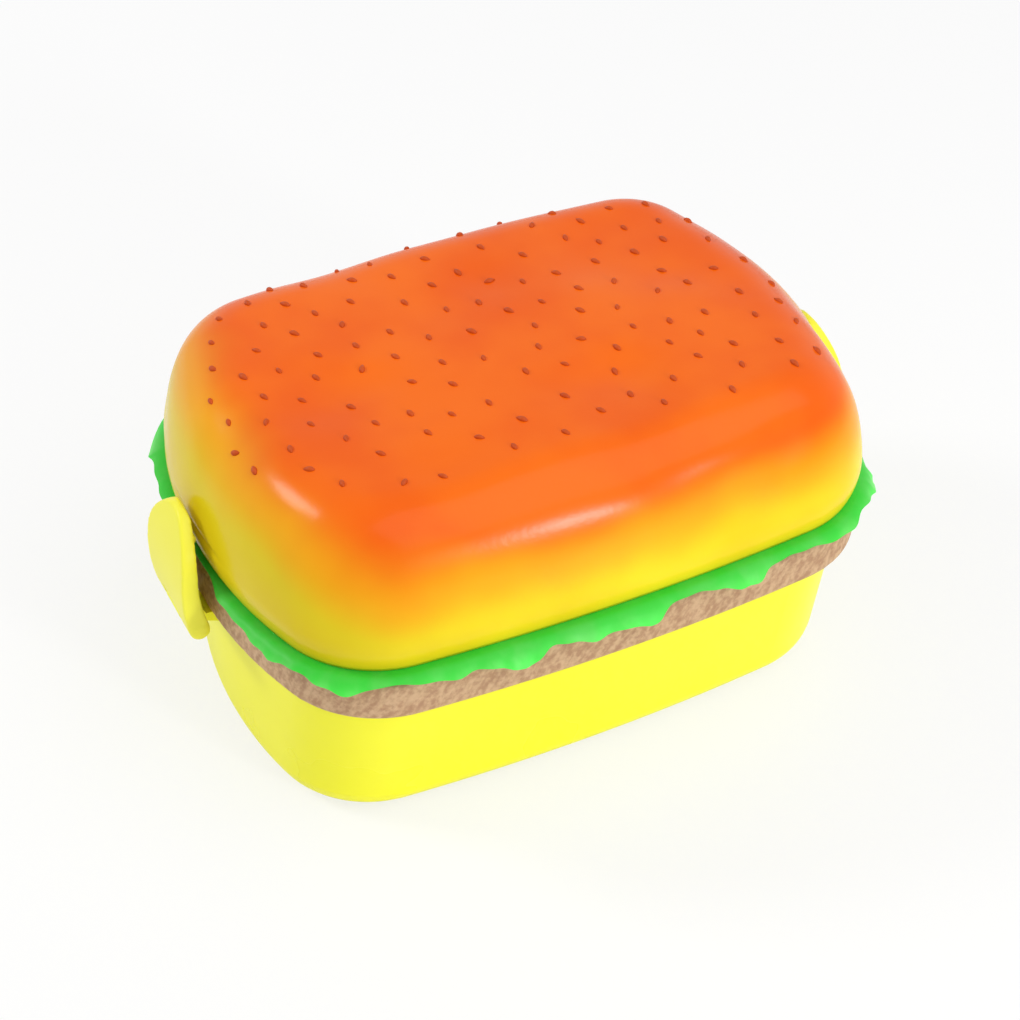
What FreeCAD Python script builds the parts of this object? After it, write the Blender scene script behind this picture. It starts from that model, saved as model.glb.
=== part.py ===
"""A burger-shaped lunch box: lower box, nesting tray, sealing plate and domed lid, held by two end clips.

Millimetres, +Z up, X along the box. The origin is on the table, under the middle of the box.
Bun, lettuce and patty share one outline of eight tangent arcs and differ only by their inset from it.
"""
import FreeCAD, Part
import collections
import math
import os
import random
import re

import Sketcher

# Driving sizes
SIZES = (
    ("bun_length", 168.0, "outline of the bun, end to end"),
    ("bun_width", 125.2, "outline of the bun, front to back"),
    ("side_radius", 600.0, "bow of the long sides"),
    ("end_radius", 125.0, "bow of the short ends"),
    ("corner_radius", 29.0, "outline corners"),
    ("bun_height", 36.7, "bun rim to crown"),
    ("bun_shoulder", 22.0, "how far in from the outline the flat crown starts"),
    ("bun_tuck", 2.0, "how far the bun draws in at its rim"),
    ("bun_wall", 2.2, "wall of the bun"),
    ("foot_length", 158.0, "underside of the lower box, end to end"),
    ("foot_width", 98.0, "underside of the lower box, front to back"),
    ("foot_corner", 28.0, "corners of the underside"),
    ("foot_round", 8.0, "rounded lower edge of the lower box"),
    ("box_wall", 2.4, "wall of the lower box"),
    ("box_floor", 2.6, "floor of the lower box"),
    ("floor_round", 6.0, "rounded inner edge of the lower box's floor"),
    ("patty_level", 43.7, "lower edge of the patty band above the table"),
    ("patty_height", 12.5, "patty band, lower edge to top"),
    ("patty_inset", 0.8, "patty band inside the bun's outline"),
    ("patty_top_round", 3.0, "upper outer edge of the patty band"),
    ("patty_low_round", 1.4, "lower outer edge of the patty band"),
    ("tray_wall", 2.2, "wall of the tray"),
    ("bowl_level", 31.0, "underside of the tray's bowl above the table"),
    ("bowl_round", 7.0, "rounded lower edge of the bowl"),
    ("skirt_clearance", 0.8, "patty band to the rim of the lower box"),
    ("bowl_clearance", 0.8, "bowl to the wall of the lower box"),
    ("seal_width", 3.0, "both sealing rings, across"),
    ("seal_stand", 1.5, "tray ring standing out of its groove"),
    ("seal_sink", 0.9, "depth of both grooves"),
    ("groove_clearance", 0.1, "ring to the sides of its groove"),
    ("plate_thickness", 2.2, "inner plate"),
    ("locating_rib", 1.6, "thickness of the plate's two locating ribs"),
    ("rib_clearance", 0.5, "locating rib to the wall that it centres"),
    ("plug_depth", 4.0, "lower locating rib, into the tray's mouth"),
    ("collar_height", 3.0, "upper locating rib, into the bun"),
    ("frill_start", 0.4, "top of the frill inside the bun's outline"),
    ("frill_reach", 4.4, "lowest edge of the frill outside the bun's outline"),
    ("frill_drop", 5.8, "plate top to the lowest edge of the frill"),
    ("frill_thickness", 1.6, "leaf of the frill"),
    ("scallop_radius", 9.0, "round cuts that wave the frill's lower edge"),
    ("scallop_rise", 3.4, "height of a round cut above the frill's lowest edge"),
    ("scallop_count", 26.0, "round cuts along the frill"),
    ("clip_width", 25.0, "clip, front to back"),
    ("clip_thickness", 2.8, "leaf of the clip"),
    ("clip_outer_bow", 45.0, "radius of the clip's outer face"),
    ("clip_inner_bow", 45.0, "radius of the clip's inner face"),
    ("clip_top_level", 73.4, "centre of the clip's upper edge above the table"),
    ("clip_gap", 0.6, "clip's upper edge to the bun's outline"),
    ("hinge_level", 45.2, "clip hinge above the table"),
    ("hinge_stand", 4.2, "clip hinge outside the bun's outline"),
    ("barrel_radius", 2.6, "clip's hinge barrel"),
    ("lug_width", 9.0, "hinge lug of the lower box"),
    ("lug_side_clearance", 0.4, "lug to the clip's barrel"),
    ("lug_round_clearance", 1.2, "lug to the clip's leaf above the barrel"),
    ("lug_drop", 5.5, "root of the lug below the patty band"),
    ("pin_radius", 1.0, "hinge pin"),
    ("pin_clearance", 0.05, "pin in the clip's barrel"),
    ("nib_level", 67.5, "catch nib above the table"),
    ("nib_radius", 1.4, "catch nib"),
    ("nib_gap", 0.3, "catch nib to the bun's outline"),
    ("nib_length", 12.0, "catch nib, front to back"),
    ("groove_radius", 1.2, "catch groove in the bun"),
    ("divider_place", 14.0, "divider, from the middle of the box"),
    ("divider_thickness", 2.0, "divider"),
    ("divider_gap", 1.5, "divider to the walls of the lower box"),
    ("divider_headroom", 0.8, "divider to the bowl above it"),
    ("divider_corner", 9.0, "lower corners of the divider"),
    ("cutlery_spread", 18.0, "spoon and fork, each from the middle"),
    ("cutlery_level", 8.0, "top of the handles above the plate"),
    ("handle_thickness", 2.6, "spoon and fork handles"),
    ("handle_width", 9.0, "spoon and fork handles"),
    ("handle_end", 66.0, "handle ends, from the middle of the box"),
    ("spoon_bowl_length", 42.0, "spoon's bowl"),
    ("spoon_bowl_width", 27.0, "spoon's bowl"),
    ("spoon_bowl_depth", 6.4, "spoon's bowl, outside"),
    ("spoon_wall", 1.6, "spoon's bowl"),
    ("fork_head_length", 44.0, "fork's head with its tines"),
    ("fork_head_width", 22.0, "fork's head"),
    ("fork_dip", 4.6, "how far the fork's head dips below its handle"),
    ("tine_length", 24.0, "fork's tines"),
    ("tine_gap", 3.0, "gap between two tines"),
    ("cradle_thickness", 2.2, "ribs that carry the cutlery"),
    ("cradle_cheek", 4.0, "rib beside each handle"),
    ("cradle_lip", 1.2, "rib above the top of the handles"),
    ("cradle_clearance", 0.3, "handle to the sides of its rib"),
    ("near_cradle_place", -14.0, "first rib, from the middle of the box"),
    ("far_cradle_place", 44.0, "second rib, from the middle of the box"),
    ("seed_length", 3.3, "sesame seed"),
    ("seed_width", 1.7, "sesame seed"),
    ("seed_height", 0.9, "sesame seed above the crust"),
    ("seed_spacing", 8.4, "least distance between two seeds"),
    ("seed_margin", 10.0, "seeds start this far inside the bun's outline"),
    ("seed_heading", 103.0, "usual direction of a seed, in degrees from the length of the box"),
    ("seed_heading_spread", 22.0, "how much that direction varies, in degrees"),
)
SIZE_NAMES = {name for name, value, words in SIZES}

# Heights above the table and insets from the bun's outline, written with the driving sizes
TRAY_TOP = "(patty_level + patty_height)"
FLANGE_LEVEL = "(patty_level + patty_height - tray_wall)"
BOX_RIM = "(patty_level + patty_height - tray_wall - seal_stand)"
PLATE_TOP = "(patty_level + patty_height + plate_thickness)"
BUN_TOP = "(patty_level + patty_height + plate_thickness + bun_height)"
SKIRT_INSET = "(patty_inset + tray_wall)"
BOX_RIM_INSET = "(patty_inset + tray_wall + skirt_clearance)"
BOWL_INSET = "(box_wall + bowl_clearance)"
HINGE_PLACE = "(bun_length / 2 + hinge_stand)"
CUTLERY_TOP = "(patty_level + patty_height + plate_thickness + cutlery_level)"

# Bun profile: the shares of its height where it is drawn, and how square its shoulder is
BUN_STEPS = (0.0, 0.1, 0.25, 0.5, 0.7, 0.84, 0.93, 0.98, 1.0)
SHOULDER_POWER = 2.26
TUCK_SHARE = 0.25

# Where the arm of a hinge lug meets its eye, below and above: shares of the eye's radius
LUG_LOW_TOUCH = (0.4, 0.9)
LUG_HIGH_TOUCH = (0.8, 0.6)

# Cutters reach this much past what they cut
PAST = 5.0
SEED_RANDOM = 11
SEED_TRIES = 6000
ARCS = 8

Outline = collections.namedtuple("Outline", "half_length half_width side end corner")

doc = FreeCAD.newDocument("burger_lunch_box")
sheet = doc.addObject("Spreadsheet::Sheet", "Sizes")
for row, (name, value, words) in enumerate(SIZES, start=1):
    sheet.set(f"A{row}", name)
    sheet.set(f"B{row}", str(value))
    sheet.set(f"C{row}", words)
    sheet.setAlias(f"B{row}", name)
doc.recompute()


# Sizes and expressions
def cells(text):
    """The expression with each size's name pointing at its cell."""
    def named(match):
        word = match.group()
        return "Sizes." + word if word in SIZE_NAMES else word

    return re.sub(r"[a-z_]+", named, str(text))


def number(text):
    """What an expression in the sizes comes to now."""
    return float(sheet.evalExpression(cells(text)))


def bind(thing, prop, text):
    """Ties a property to the sheet."""
    thing.setExpression(prop, cells(text))


def rim_outline(inset):
    """The bun's outline, drawn in evenly by inset."""
    return Outline(f"bun_length / 2 - ({inset})", f"bun_width / 2 - ({inset})", f"side_radius - ({inset})",
                   f"end_radius - ({inset})", f"corner_radius - ({inset})")


def box_outline(level, inset):
    """The tapered lower box's outline at a height, drawn in by inset."""
    def tapered(foot, rim):
        return f"{foot} + ({rim} - {BOX_RIM_INSET} - {foot}) * ({level}) / {BOX_RIM} - ({inset})"

    return Outline(tapered("foot_length / 2", "bun_length / 2"), tapered("foot_width / 2", "bun_width / 2"),
                   f"side_radius - {BOX_RIM_INSET} - ({inset})", f"end_radius - {BOX_RIM_INSET} - ({inset})",
                   tapered("foot_corner", "corner_radius"))


def corner_centre(half_length, half_width, side, end, corner):
    """Centre of the corner arc that touches the side arc and the end arc."""
    side_centre = FreeCAD.Vector(0, half_width - side, 0)
    end_centre = FreeCAD.Vector(half_length - end, 0, 0)
    apart = end_centre - side_centre
    along = (apart.Length ** 2 + (side - corner) ** 2 - (end - corner) ** 2) / (2 * apart.Length)
    across = math.sqrt((side - corner) ** 2 - along ** 2)
    unit = apart / apart.Length
    return side_centre + unit * along + FreeCAD.Vector(unit.y, -unit.x, 0) * across


# Sketches
def new_sketch(body, name, plane, offset="0"):
    """A sketch on one of the body's own planes, moved along that plane's normal."""
    sketch = body.newObject("Sketcher::SketchObject", name)
    origin = next(f for f in body.Origin.OriginFeatures if f.Role == plane)
    sketch.AttachmentSupport = (origin, [""])
    sketch.MapMode = "FlatFace"
    bind(sketch, "AttachmentOffset.Base.z", offset)
    return sketch


def add_bound(sketch, kind, where, text):
    """A constraint with a value, tied to the sheet."""
    index = sketch.addConstraint(Sketcher.Constraint(kind, *where, number(text)))
    bind(sketch, f"Constraints[{index}]", text)


def fix_point(sketch, geometry, point, across, up):
    """Holds a point at a place given by two expressions."""
    for kind, axis, text in (("DistanceX", -2, across), ("DistanceY", -1, up)):
        value = number(text)
        if abs(value) < 1e-9:
            sketch.addConstraint(Sketcher.Constraint("PointOnObject", geometry, point, axis))
        elif value > 0:
            add_bound(sketch, kind, (-1, 1, geometry, point), text)
        else:
            add_bound(sketch, kind, (geometry, point, -1, 1), f"-({text})")


def arc(centre, radius, start, stop):
    return Part.ArcOfCircle(Part.Circle(centre, FreeCAD.Vector(0, 0, 1), radius), start, stop)


def add_outline(sketch, outline):
    """A closed outline: ends, corners and sides, each tangent to the next."""
    half_length, half_width, side, end, corner = (number(text) for text in outline)
    centre = corner_centre(half_length, half_width, side, end, corner)
    turn_end = math.atan2(centre.y, centre.x - (half_length - end))
    turn_side = math.atan2(centre.y - (half_width - side), centre.x)
    shapes = []
    for half in (0, 1):
        sign = 1 - 2 * half
        base = math.pi * half
        flipped = FreeCAD.Vector(-centre.x, centre.y, 0)
        shapes += [
            arc(FreeCAD.Vector(sign * (half_length - end), 0, 0), end, base - turn_end, base + turn_end),
            arc(centre * sign, corner, base + turn_end, base + turn_side),
            arc(FreeCAD.Vector(0, sign * (half_width - side), 0), side,
                base + turn_side, base + math.pi - turn_side),
            arc(flipped * sign, corner, base + math.pi - turn_side, base + math.pi - turn_end),
        ]
    first = sketch.addGeometry(shapes, False)[0]
    for i in range(ARCS):
        sketch.addConstraint(Sketcher.Constraint("Tangent", first + i, 2, first + (i + 1) % ARCS, 1))
    ends, sides = (first, first + 4), (first + 2, first + 6)
    corners = (first + 1, first + 3, first + 5, first + 7)
    for same, text in ((ends, outline.end), (corners, outline.corner), (sides, outline.side)):
        add_bound(sketch, "Radius", (same[0],), text)
        for other in same[1:]:
            sketch.addConstraint(Sketcher.Constraint("Equal", same[0], other))
    end_shift = f"({outline.half_length}) - ({outline.end})"
    side_shift = f"({outline.half_width}) - ({outline.side})"
    fix_point(sketch, ends[0], 3, end_shift, "0")
    fix_point(sketch, ends[1], 3, f"-({end_shift})", "0")
    fix_point(sketch, sides[0], 3, "0", side_shift)
    fix_point(sketch, sides[1], 3, "0", f"-({side_shift})")


def add_polygon(sketch, points):
    """A closed run of straight lines through points given as pairs of expressions."""
    places = [FreeCAD.Vector(number(x), number(y), 0) for x, y in points]
    lines = [Part.LineSegment(a, b) for a, b in zip(places, places[1:] + places[:1])]
    first = sketch.addGeometry(lines, False)[0]
    for i, (x, y) in enumerate(points):
        following = first + (i + 1) % len(points)
        sketch.addConstraint(Sketcher.Constraint("Coincident", first + i, 2, following, 1))
        fix_point(sketch, first + i, 1, x, y)


def add_circle(sketch, across, up, radius):
    centre = FreeCAD.Vector(number(across), number(up), 0)
    index = sketch.addGeometry(Part.Circle(centre, FreeCAD.Vector(0, 0, 1), number(radius)), False)
    fix_point(sketch, index, 3, across, up)
    add_bound(sketch, "Radius", (index,), radius)


def add_arch(sketch, half_width, foot, top):
    """A flat foot, upright sides and a round top, as wide as the sides are apart."""
    half, low, high = number(half_width), number(foot), number(top)
    spring = high - half
    corners = [FreeCAD.Vector(*p, 0) for p in ((-half, spring), (-half, low), (half, low), (half, spring))]
    lines = [Part.LineSegment(a, b) for a, b in zip(corners, corners[1:])]
    first = sketch.addGeometry(lines, False)[0]
    crown = sketch.addGeometry(arc(FreeCAD.Vector(0, spring, 0), half, 0, math.pi), False)
    for i in (0, 1):
        sketch.addConstraint(Sketcher.Constraint("Coincident", first + i, 2, first + i + 1, 1))
    sketch.addConstraint(Sketcher.Constraint("Tangent", first + 2, 2, crown, 1))
    sketch.addConstraint(Sketcher.Constraint("Tangent", crown, 2, first, 1))
    fix_point(sketch, first, 2, f"-({half_width})", foot)
    fix_point(sketch, first + 1, 2, half_width, foot)
    fix_point(sketch, crown, 3, "0", f"{top} - ({half_width})")


# Features
def new_body(label):
    body = doc.addObject("PartDesign::Body", label)
    body.Label = label
    return body


def loft(body, name, sections, cut=False, ruled=False):
    """A solid, or a cut, through outlines at given heights."""
    sketches = []
    for i, (level, outline) in enumerate(sections):
        sketch = new_sketch(body, f"{name}_{i}", "XY_Plane", level)
        add_outline(sketch, outline)
        sketches.append(sketch)
    doc.recompute()
    feature = body.newObject("PartDesign::SubtractiveLoft" if cut else "PartDesign::AdditiveLoft", name)
    feature.Profile = sketches[0]
    feature.Sections = sketches[1:]
    feature.Ruled = ruled
    doc.recompute()
    return feature


def extrude(body, name, sketch, length, cut=False, both_ways=False, backwards=False):
    """A pad or a pocket of a sketch."""
    doc.recompute()
    feature = body.newObject("PartDesign::Pocket" if cut else "PartDesign::Pad", name)
    feature.Profile = sketch
    feature.SideType = "Symmetric" if both_ways else "One side"
    feature.Reversed = backwards
    bind(feature, "Length", length)
    doc.recompute()
    return feature


def ring(body, name, level, outer, inner, length, cut=False, backwards=False):
    """A pad or a pocket between two outlines."""
    sketch = new_sketch(body, f"{name}_outlines", "XY_Plane", level)
    add_outline(sketch, outer)
    add_outline(sketch, inner)
    return extrude(body, name, sketch, length, cut, backwards=backwards)


def round_level(body, name, level, radius, keep=lambda edge: True):
    """Rounds the edges of the newest feature that lie flat at a height."""
    height = number(level)
    base = body.Tip
    names = [
        f"Edge{i}" for i, edge in enumerate(base.Shape.Edges, start=1)
        if abs(edge.BoundBox.ZMin - height) < 1e-4 and edge.BoundBox.ZLength < 1e-4 and keep(edge)
    ]
    feature = body.newObject("PartDesign::Fillet", name)
    feature.Base = (base, names)
    bind(feature, "Radius", radius)
    doc.recompute()
    return feature


def mirror_ends(body, name, features):
    """The same features at the other end of the box."""
    feature = body.newObject("PartDesign::Mirrored", name)
    feature.Originals = features
    feature.MirrorPlane = (next(f for f in body.Origin.OriginFeatures if f.Role == "YZ_Plane"), [""])
    body.Tip = feature
    doc.recompute()
    return feature


def box_cutter(name, corner, extent):
    """A plain block from its lowest corner and its three sizes, all expressions."""
    block = doc.addObject("Part::Box", name)
    for prop, text in zip(("Length", "Width", "Height"), extent):
        bind(block, prop, text)
    for axis, text in zip("xyz", corner):
        bind(block, f"Placement.Base.{axis}", text)
    return block


def combine(kind, label, base, tool):
    """Part::Cut, Part::Fuse or Part::Common of two shapes."""
    feature = doc.addObject(f"Part::{kind}", label)
    feature.Label = label
    feature.Base = base
    feature.Tool = tool
    doc.recompute()
    return feature


def gather(name, shapes):
    feature = doc.addObject("Part::Compound", name)
    feature.Links = shapes
    doc.recompute()
    return feature


# Lower box
def make_lower_box():
    """A tapered tub with a rounded foot, and a hinge lug under each end of the patty band."""
    body = new_body("lower_box")
    loft(body, "tub", [("0", box_outline("0", "0")), (BOX_RIM, box_outline(BOX_RIM, "0"))], ruled=True)
    loft(body, "tub_hollow", [("box_floor", box_outline("box_floor", "box_wall")),
                              (BOX_RIM, box_outline(BOX_RIM, "box_wall"))], cut=True, ruled=True)
    round_level(body, "floor_edge", "box_floor", "floor_round")
    round_level(body, "foot_edge", "0", "foot_round")

    root = f"({box_outline('patty_level', 'box_wall / 2').half_length})"
    low_root = f"({box_outline('patty_level - lug_drop', 'box_wall / 2').half_length})"
    (low_along, low_down), (high_along, high_up) = LUG_LOW_TOUCH, LUG_HIGH_TOUCH
    arm = new_sketch(body, "lug_arm_profile", "XZ_Plane")
    add_polygon(arm, [
        (root, "patty_level - skirt_clearance"),
        (low_root, "patty_level - lug_drop"),
        (f"{HINGE_PLACE} + barrel_radius * {low_along}", f"hinge_level - barrel_radius * {low_down}"),
        (f"{HINGE_PLACE} - barrel_radius * {high_along}", f"hinge_level + barrel_radius * {high_up}"),
        ("bun_length / 2 - patty_inset + skirt_clearance", "patty_level - skirt_clearance"),
    ])
    lug_arm = extrude(body, "lug_arm", arm, "lug_width", both_ways=True)
    eye = new_sketch(body, "lug_eye_profile", "XZ_Plane")
    add_circle(eye, HINGE_PLACE, "hinge_level", "barrel_radius")
    lug_eye = extrude(body, "lug_eye", eye, "lug_width", both_ways=True)
    hole = new_sketch(body, "lug_hole_profile", "XZ_Plane")
    add_circle(hole, HINGE_PLACE, "hinge_level", "pin_radius")
    lug_hole = extrude(body, "lug_hole", hole, "lug_width", cut=True, both_ways=True)
    mirror_ends(body, "other_lug", [lug_arm, lug_eye, lug_hole])
    return body


# Clips and their pins
def make_hinge_pin(label, side):
    """A plain rod, flush with both sides of the clip."""
    pin = doc.addObject("Part::Cylinder", label)
    pin.Label = label
    bind(pin, "Radius", "pin_radius")
    bind(pin, "Height", "clip_width")
    pin.Placement.Rotation = FreeCAD.Rotation(FreeCAD.Vector(1, 0, 0), -90)
    bind(pin, "Placement.Base.x", f"{side} * {HINGE_PLACE}")
    bind(pin, "Placement.Base.y", "-clip_width / 2")
    bind(pin, "Placement.Base.z", "hinge_level")
    doc.recompute()
    return pin


def meeting_point(one, one_reach, two, two_reach, side):
    """Where circles about two points cross, on the chosen side of the line from one to two."""
    apart = two - one
    along = (apart.Length ** 2 + one_reach ** 2 - two_reach ** 2) / (2 * apart.Length)
    across = math.sqrt(one_reach ** 2 - along ** 2)
    unit = apart / apart.Length
    return one + unit * along + FreeCAD.Vector(-unit.y, unit.x, 0) * across * side


def add_leaf(sketch, side):
    """Side view of the clip: barrel below, thin rounded edge above, and two bowed faces that touch both."""
    top_place = f"{side} * (bun_length / 2 + clip_gap + clip_thickness / 2)"
    low = FreeCAD.Vector(number(f"{side} * {HINGE_PLACE}"), number("hinge_level"), 0)
    high = FreeCAD.Vector(number(top_place), number("clip_top_level"), 0)
    big, small = number("barrel_radius"), number("clip_thickness / 2")
    outer, inner = number("clip_outer_bow"), number("clip_inner_bow")
    outer_centre = meeting_point(low, outer - big, high, outer - small, side)
    inner_centre = meeting_point(low, inner + big, high, inner + small, side)

    def turn(start, point):
        return math.atan2(point.y - start.y, point.x - start.x)

    def sweep(centre, radius, start, stop):
        """The arc from start to stop, the short way for the faces and the outside way for the ends."""
        return arc(centre, radius, start, stop if stop > start else stop + math.tau)

    outer_low, outer_high = turn(outer_centre, low), turn(outer_centre, high)
    inner_low, inner_high = turn(inner_centre, low), turn(inner_centre, high)
    if side > 0:
        shapes = [
            sweep(outer_centre, outer, outer_low, outer_high),
            sweep(high, small, outer_high, inner_high + math.pi),
            sweep(inner_centre, inner, inner_low, inner_high),
            sweep(low, big, inner_low + math.pi, outer_low),
        ]
        joints = ((0, 2, 1, 1), (1, 2, 2, 2), (2, 1, 3, 1), (3, 2, 0, 1))
    else:
        shapes = [
            sweep(outer_centre, outer, outer_high, outer_low),
            sweep(high, small, inner_high + math.pi, outer_high),
            sweep(inner_centre, inner, inner_high, inner_low),
            sweep(low, big, outer_low, inner_low + math.pi),
        ]
        joints = ((0, 1, 1, 2), (1, 1, 2, 1), (2, 2, 3, 2), (3, 1, 0, 2))
    first = sketch.addGeometry(shapes, False)[0]
    for one, one_end, two, two_end in joints:
        sketch.addConstraint(Sketcher.Constraint("Tangent", first + one, one_end, first + two, two_end))
    radii = ("clip_outer_bow", "clip_thickness / 2", "clip_inner_bow", "barrel_radius")
    for index, text in enumerate(radii):
        add_bound(sketch, "Radius", (first + index,), text)
    fix_point(sketch, first + 1, 3, top_place, "clip_top_level")
    fix_point(sketch, first + 3, 3, f"{side} * {HINGE_PLACE}", "hinge_level")


def make_clip(label, side):
    """A bowed leaf with a round top, a hinge barrel split round the lug, and a catch nib inside its top."""
    body = new_body(label)
    leaf = new_sketch(body, "leaf_profile", "XZ_Plane")
    add_leaf(leaf, side)
    extrude(body, "leaf", leaf, "clip_width", both_ways=True)
    trim = new_sketch(body, "leaf_front", "YZ_Plane")
    top = "(clip_top_level + clip_thickness / 2)"
    foot = "(hinge_level - barrel_radius)"
    wide, high = f"(clip_width / 2 + {PAST})", f"({top} + {PAST})"
    low = f"{foot} - {PAST}"
    add_polygon(trim, [(f"-{wide}", low), (wide, low), (wide, high), (f"-{wide}", high)])
    add_arch(trim, "clip_width / 2", f"{foot} - {PAST} / 2", top)
    extrude(body, "round_top", trim, f"2 * {HINGE_PLACE} + 4 * {PAST}", cut=True, both_ways=True)
    gap = new_sketch(body, "lug_gap_profile", "XZ_Plane")
    add_circle(gap, f"{side} * {HINGE_PLACE}", "hinge_level", "barrel_radius + lug_round_clearance")
    extrude(body, "lug_gap", gap, "lug_width + 2 * lug_side_clearance", cut=True, both_ways=True)
    hole = new_sketch(body, "pin_hole_profile", "XZ_Plane")
    add_circle(hole, f"{side} * {HINGE_PLACE}", "hinge_level", "pin_radius + pin_clearance")
    extrude(body, "pin_hole", hole, f"clip_width + {PAST}", cut=True, both_ways=True)
    nib = new_sketch(body, "nib_profile", "XZ_Plane")
    add_circle(nib, f"{side} * (bun_length / 2 + nib_gap + nib_radius)", "nib_level", "nib_radius")
    extrude(body, "nib", nib, "nib_length", both_ways=True)
    return body


# Divider
def make_box_divider():
    """A loose partition that stands on the floor of the lower box."""
    body = new_body("box_divider")
    top = "(bowl_level - divider_headroom)"
    sketch = new_sketch(body, "divider_front", "YZ_Plane", "divider_place")
    low = f"({box_outline('box_floor', 'box_wall + divider_gap').half_width})"
    high = f"({box_outline(top, 'box_wall + divider_gap').half_width})"
    add_polygon(sketch, [(f"-{low}", "box_floor"), (low, "box_floor"), (high, top), (f"-{high}", top)])
    extrude(body, "divider", sketch, "divider_thickness", both_ways=True)
    base = body.Tip
    corners = [
        f"Edge{i}" for i, edge in enumerate(base.Shape.Edges, start=1)
        if edge.BoundBox.XLength > number("divider_thickness") / 2
        and edge.BoundBox.ZMax < number("box_floor") + 1e-4
    ]
    feature = body.newObject("PartDesign::Fillet", "divider_corners")
    feature.Base = (base, corners)
    bind(feature, "Radius", "divider_corner")
    doc.recompute()
    return body


# Tray and its sealing ring
SEAL_MIDDLE = f"({BOX_RIM_INSET} + box_wall / 2)"
PLATE_SEAL_MIDDLE = "(patty_inset + patty_top_round + seal_width / 2 + 4 * groove_clearance)"


def seal_outlines(middle, spare):
    """Outer and inner outline of a sealing ring, wider by spare on both sides."""
    half = f"(seal_width / 2 + ({spare}))"
    return rim_outline(f"{middle} - {half}"), rim_outline(f"{middle} + {half}")


def make_patty_tray():
    """The patty band is a skirt round the lower box. A flange joins it to the bowl that hangs inside."""
    body = new_body("patty_tray")
    band = new_sketch(body, "band_outline", "XY_Plane", "patty_level")
    add_outline(band, rim_outline("patty_inset"))
    extrude(body, "band", band, "patty_height")
    round_level(body, "band_top_edge", TRAY_TOP, "patty_top_round")
    round_level(body, "band_low_edge", "patty_level", "patty_low_round")
    under = new_sketch(body, "skirt_outline", "XY_Plane", "patty_level")
    add_outline(under, rim_outline(SKIRT_INSET))
    extrude(body, "skirt_hollow", under, "patty_height - tray_wall", cut=True, backwards=True)
    loft(body, "bowl", [(FLANGE_LEVEL, box_outline(FLANGE_LEVEL, BOWL_INSET)),
                        ("bowl_level", box_outline("bowl_level", BOWL_INSET))], ruled=True)
    round_level(body, "bowl_edge", "bowl_level", "bowl_round")
    inside = f"({BOWL_INSET} + tray_wall)"
    floor = "(bowl_level + tray_wall)"
    loft(body, "bowl_hollow",
         [(TRAY_TOP, box_outline(TRAY_TOP, inside)), (floor, box_outline(floor, inside))],
         cut=True, ruled=True)
    round_level(body, "bowl_inner_edge", floor, "bowl_round - tray_wall")
    outside, within = seal_outlines(SEAL_MIDDLE, "groove_clearance")
    ring(body, "seal_groove", FLANGE_LEVEL, outside, within, "seal_sink", cut=True,
         backwards=True)
    return body


def make_tray_seal():
    """A soft ring in the flange's groove that rests on the rim of the lower box."""
    body = new_body("tray_seal")
    ring(body, "tray_ring", BOX_RIM, *seal_outlines(SEAL_MIDDLE, "0"), "seal_stand + seal_sink")
    return body


# Inner plate with its frill, and its sealing ring
def frill_inset(level):
    """How far the frill's outer face lies inside the outline at a height: a straight slope, out and down."""
    return f"(frill_start - (frill_start + frill_reach) * ({PLATE_TOP} - ({level})) / frill_drop)"


def make_scallops():
    """Round cutters across the lower edge of the frill, evenly spaced along it."""
    low = f"({PLATE_TOP} - frill_drop)"
    outline = rim_outline("-frill_reach")
    half_length, half_width, side, end, corner = (number(text) for text in outline)
    centre = corner_centre(half_length, half_width, side, end, corner)
    turn_end = math.atan2(centre.y, centre.x - (half_length - end))
    turn_side = math.atan2(centre.y - (half_width - side), centre.x)
    up = FreeCAD.Vector(0, 0, 1)
    quarter = [
        arc(FreeCAD.Vector(half_length - end, 0, 0), end, 0, turn_end),
        arc(centre, corner, turn_end, turn_side),
        arc(FreeCAD.Vector(0, half_width - side, 0), side, turn_side, math.pi / 2),
    ]
    run = sum(piece.length() for piece in quarter)
    cutters = []
    count = round(number("scallop_count"))
    for i in range(count):
        place = (i + 0.5) * 4 * run / count
        corner_no, rest = divmod(place, run)
        rest = run - rest if corner_no % 2 else rest
        for piece in quarter:
            if rest <= piece.length():
                break
            rest -= piece.length()
        at = piece.parameterAtDistance(rest, piece.FirstParameter)
        point, outward = piece.value(at), piece.value(at) - piece.Center
        flip_x = -1 if corner_no in (1, 2) else 1
        flip_y = -1 if corner_no in (2, 3) else 1
        point = FreeCAD.Vector(point.x * flip_x, point.y * flip_y, 0)
        outward = FreeCAD.Vector(outward.x * flip_x, outward.y * flip_y, 0).normalize()
        cutter = doc.addObject("Part::Cylinder", "scallop")
        bind(cutter, "Radius", "scallop_radius")
        bind(cutter, "Height", f"frill_reach + {PAST}")
        level = number(f"{low} + scallop_rise - scallop_radius")
        start = point - outward * number(f"frill_reach - patty_inset")
        start.z = level
        cutter.Placement = FreeCAD.Placement(start, FreeCAD.Rotation(up, outward))
        cutters.append(cutter)
    return gather("scallops", cutters)


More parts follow.
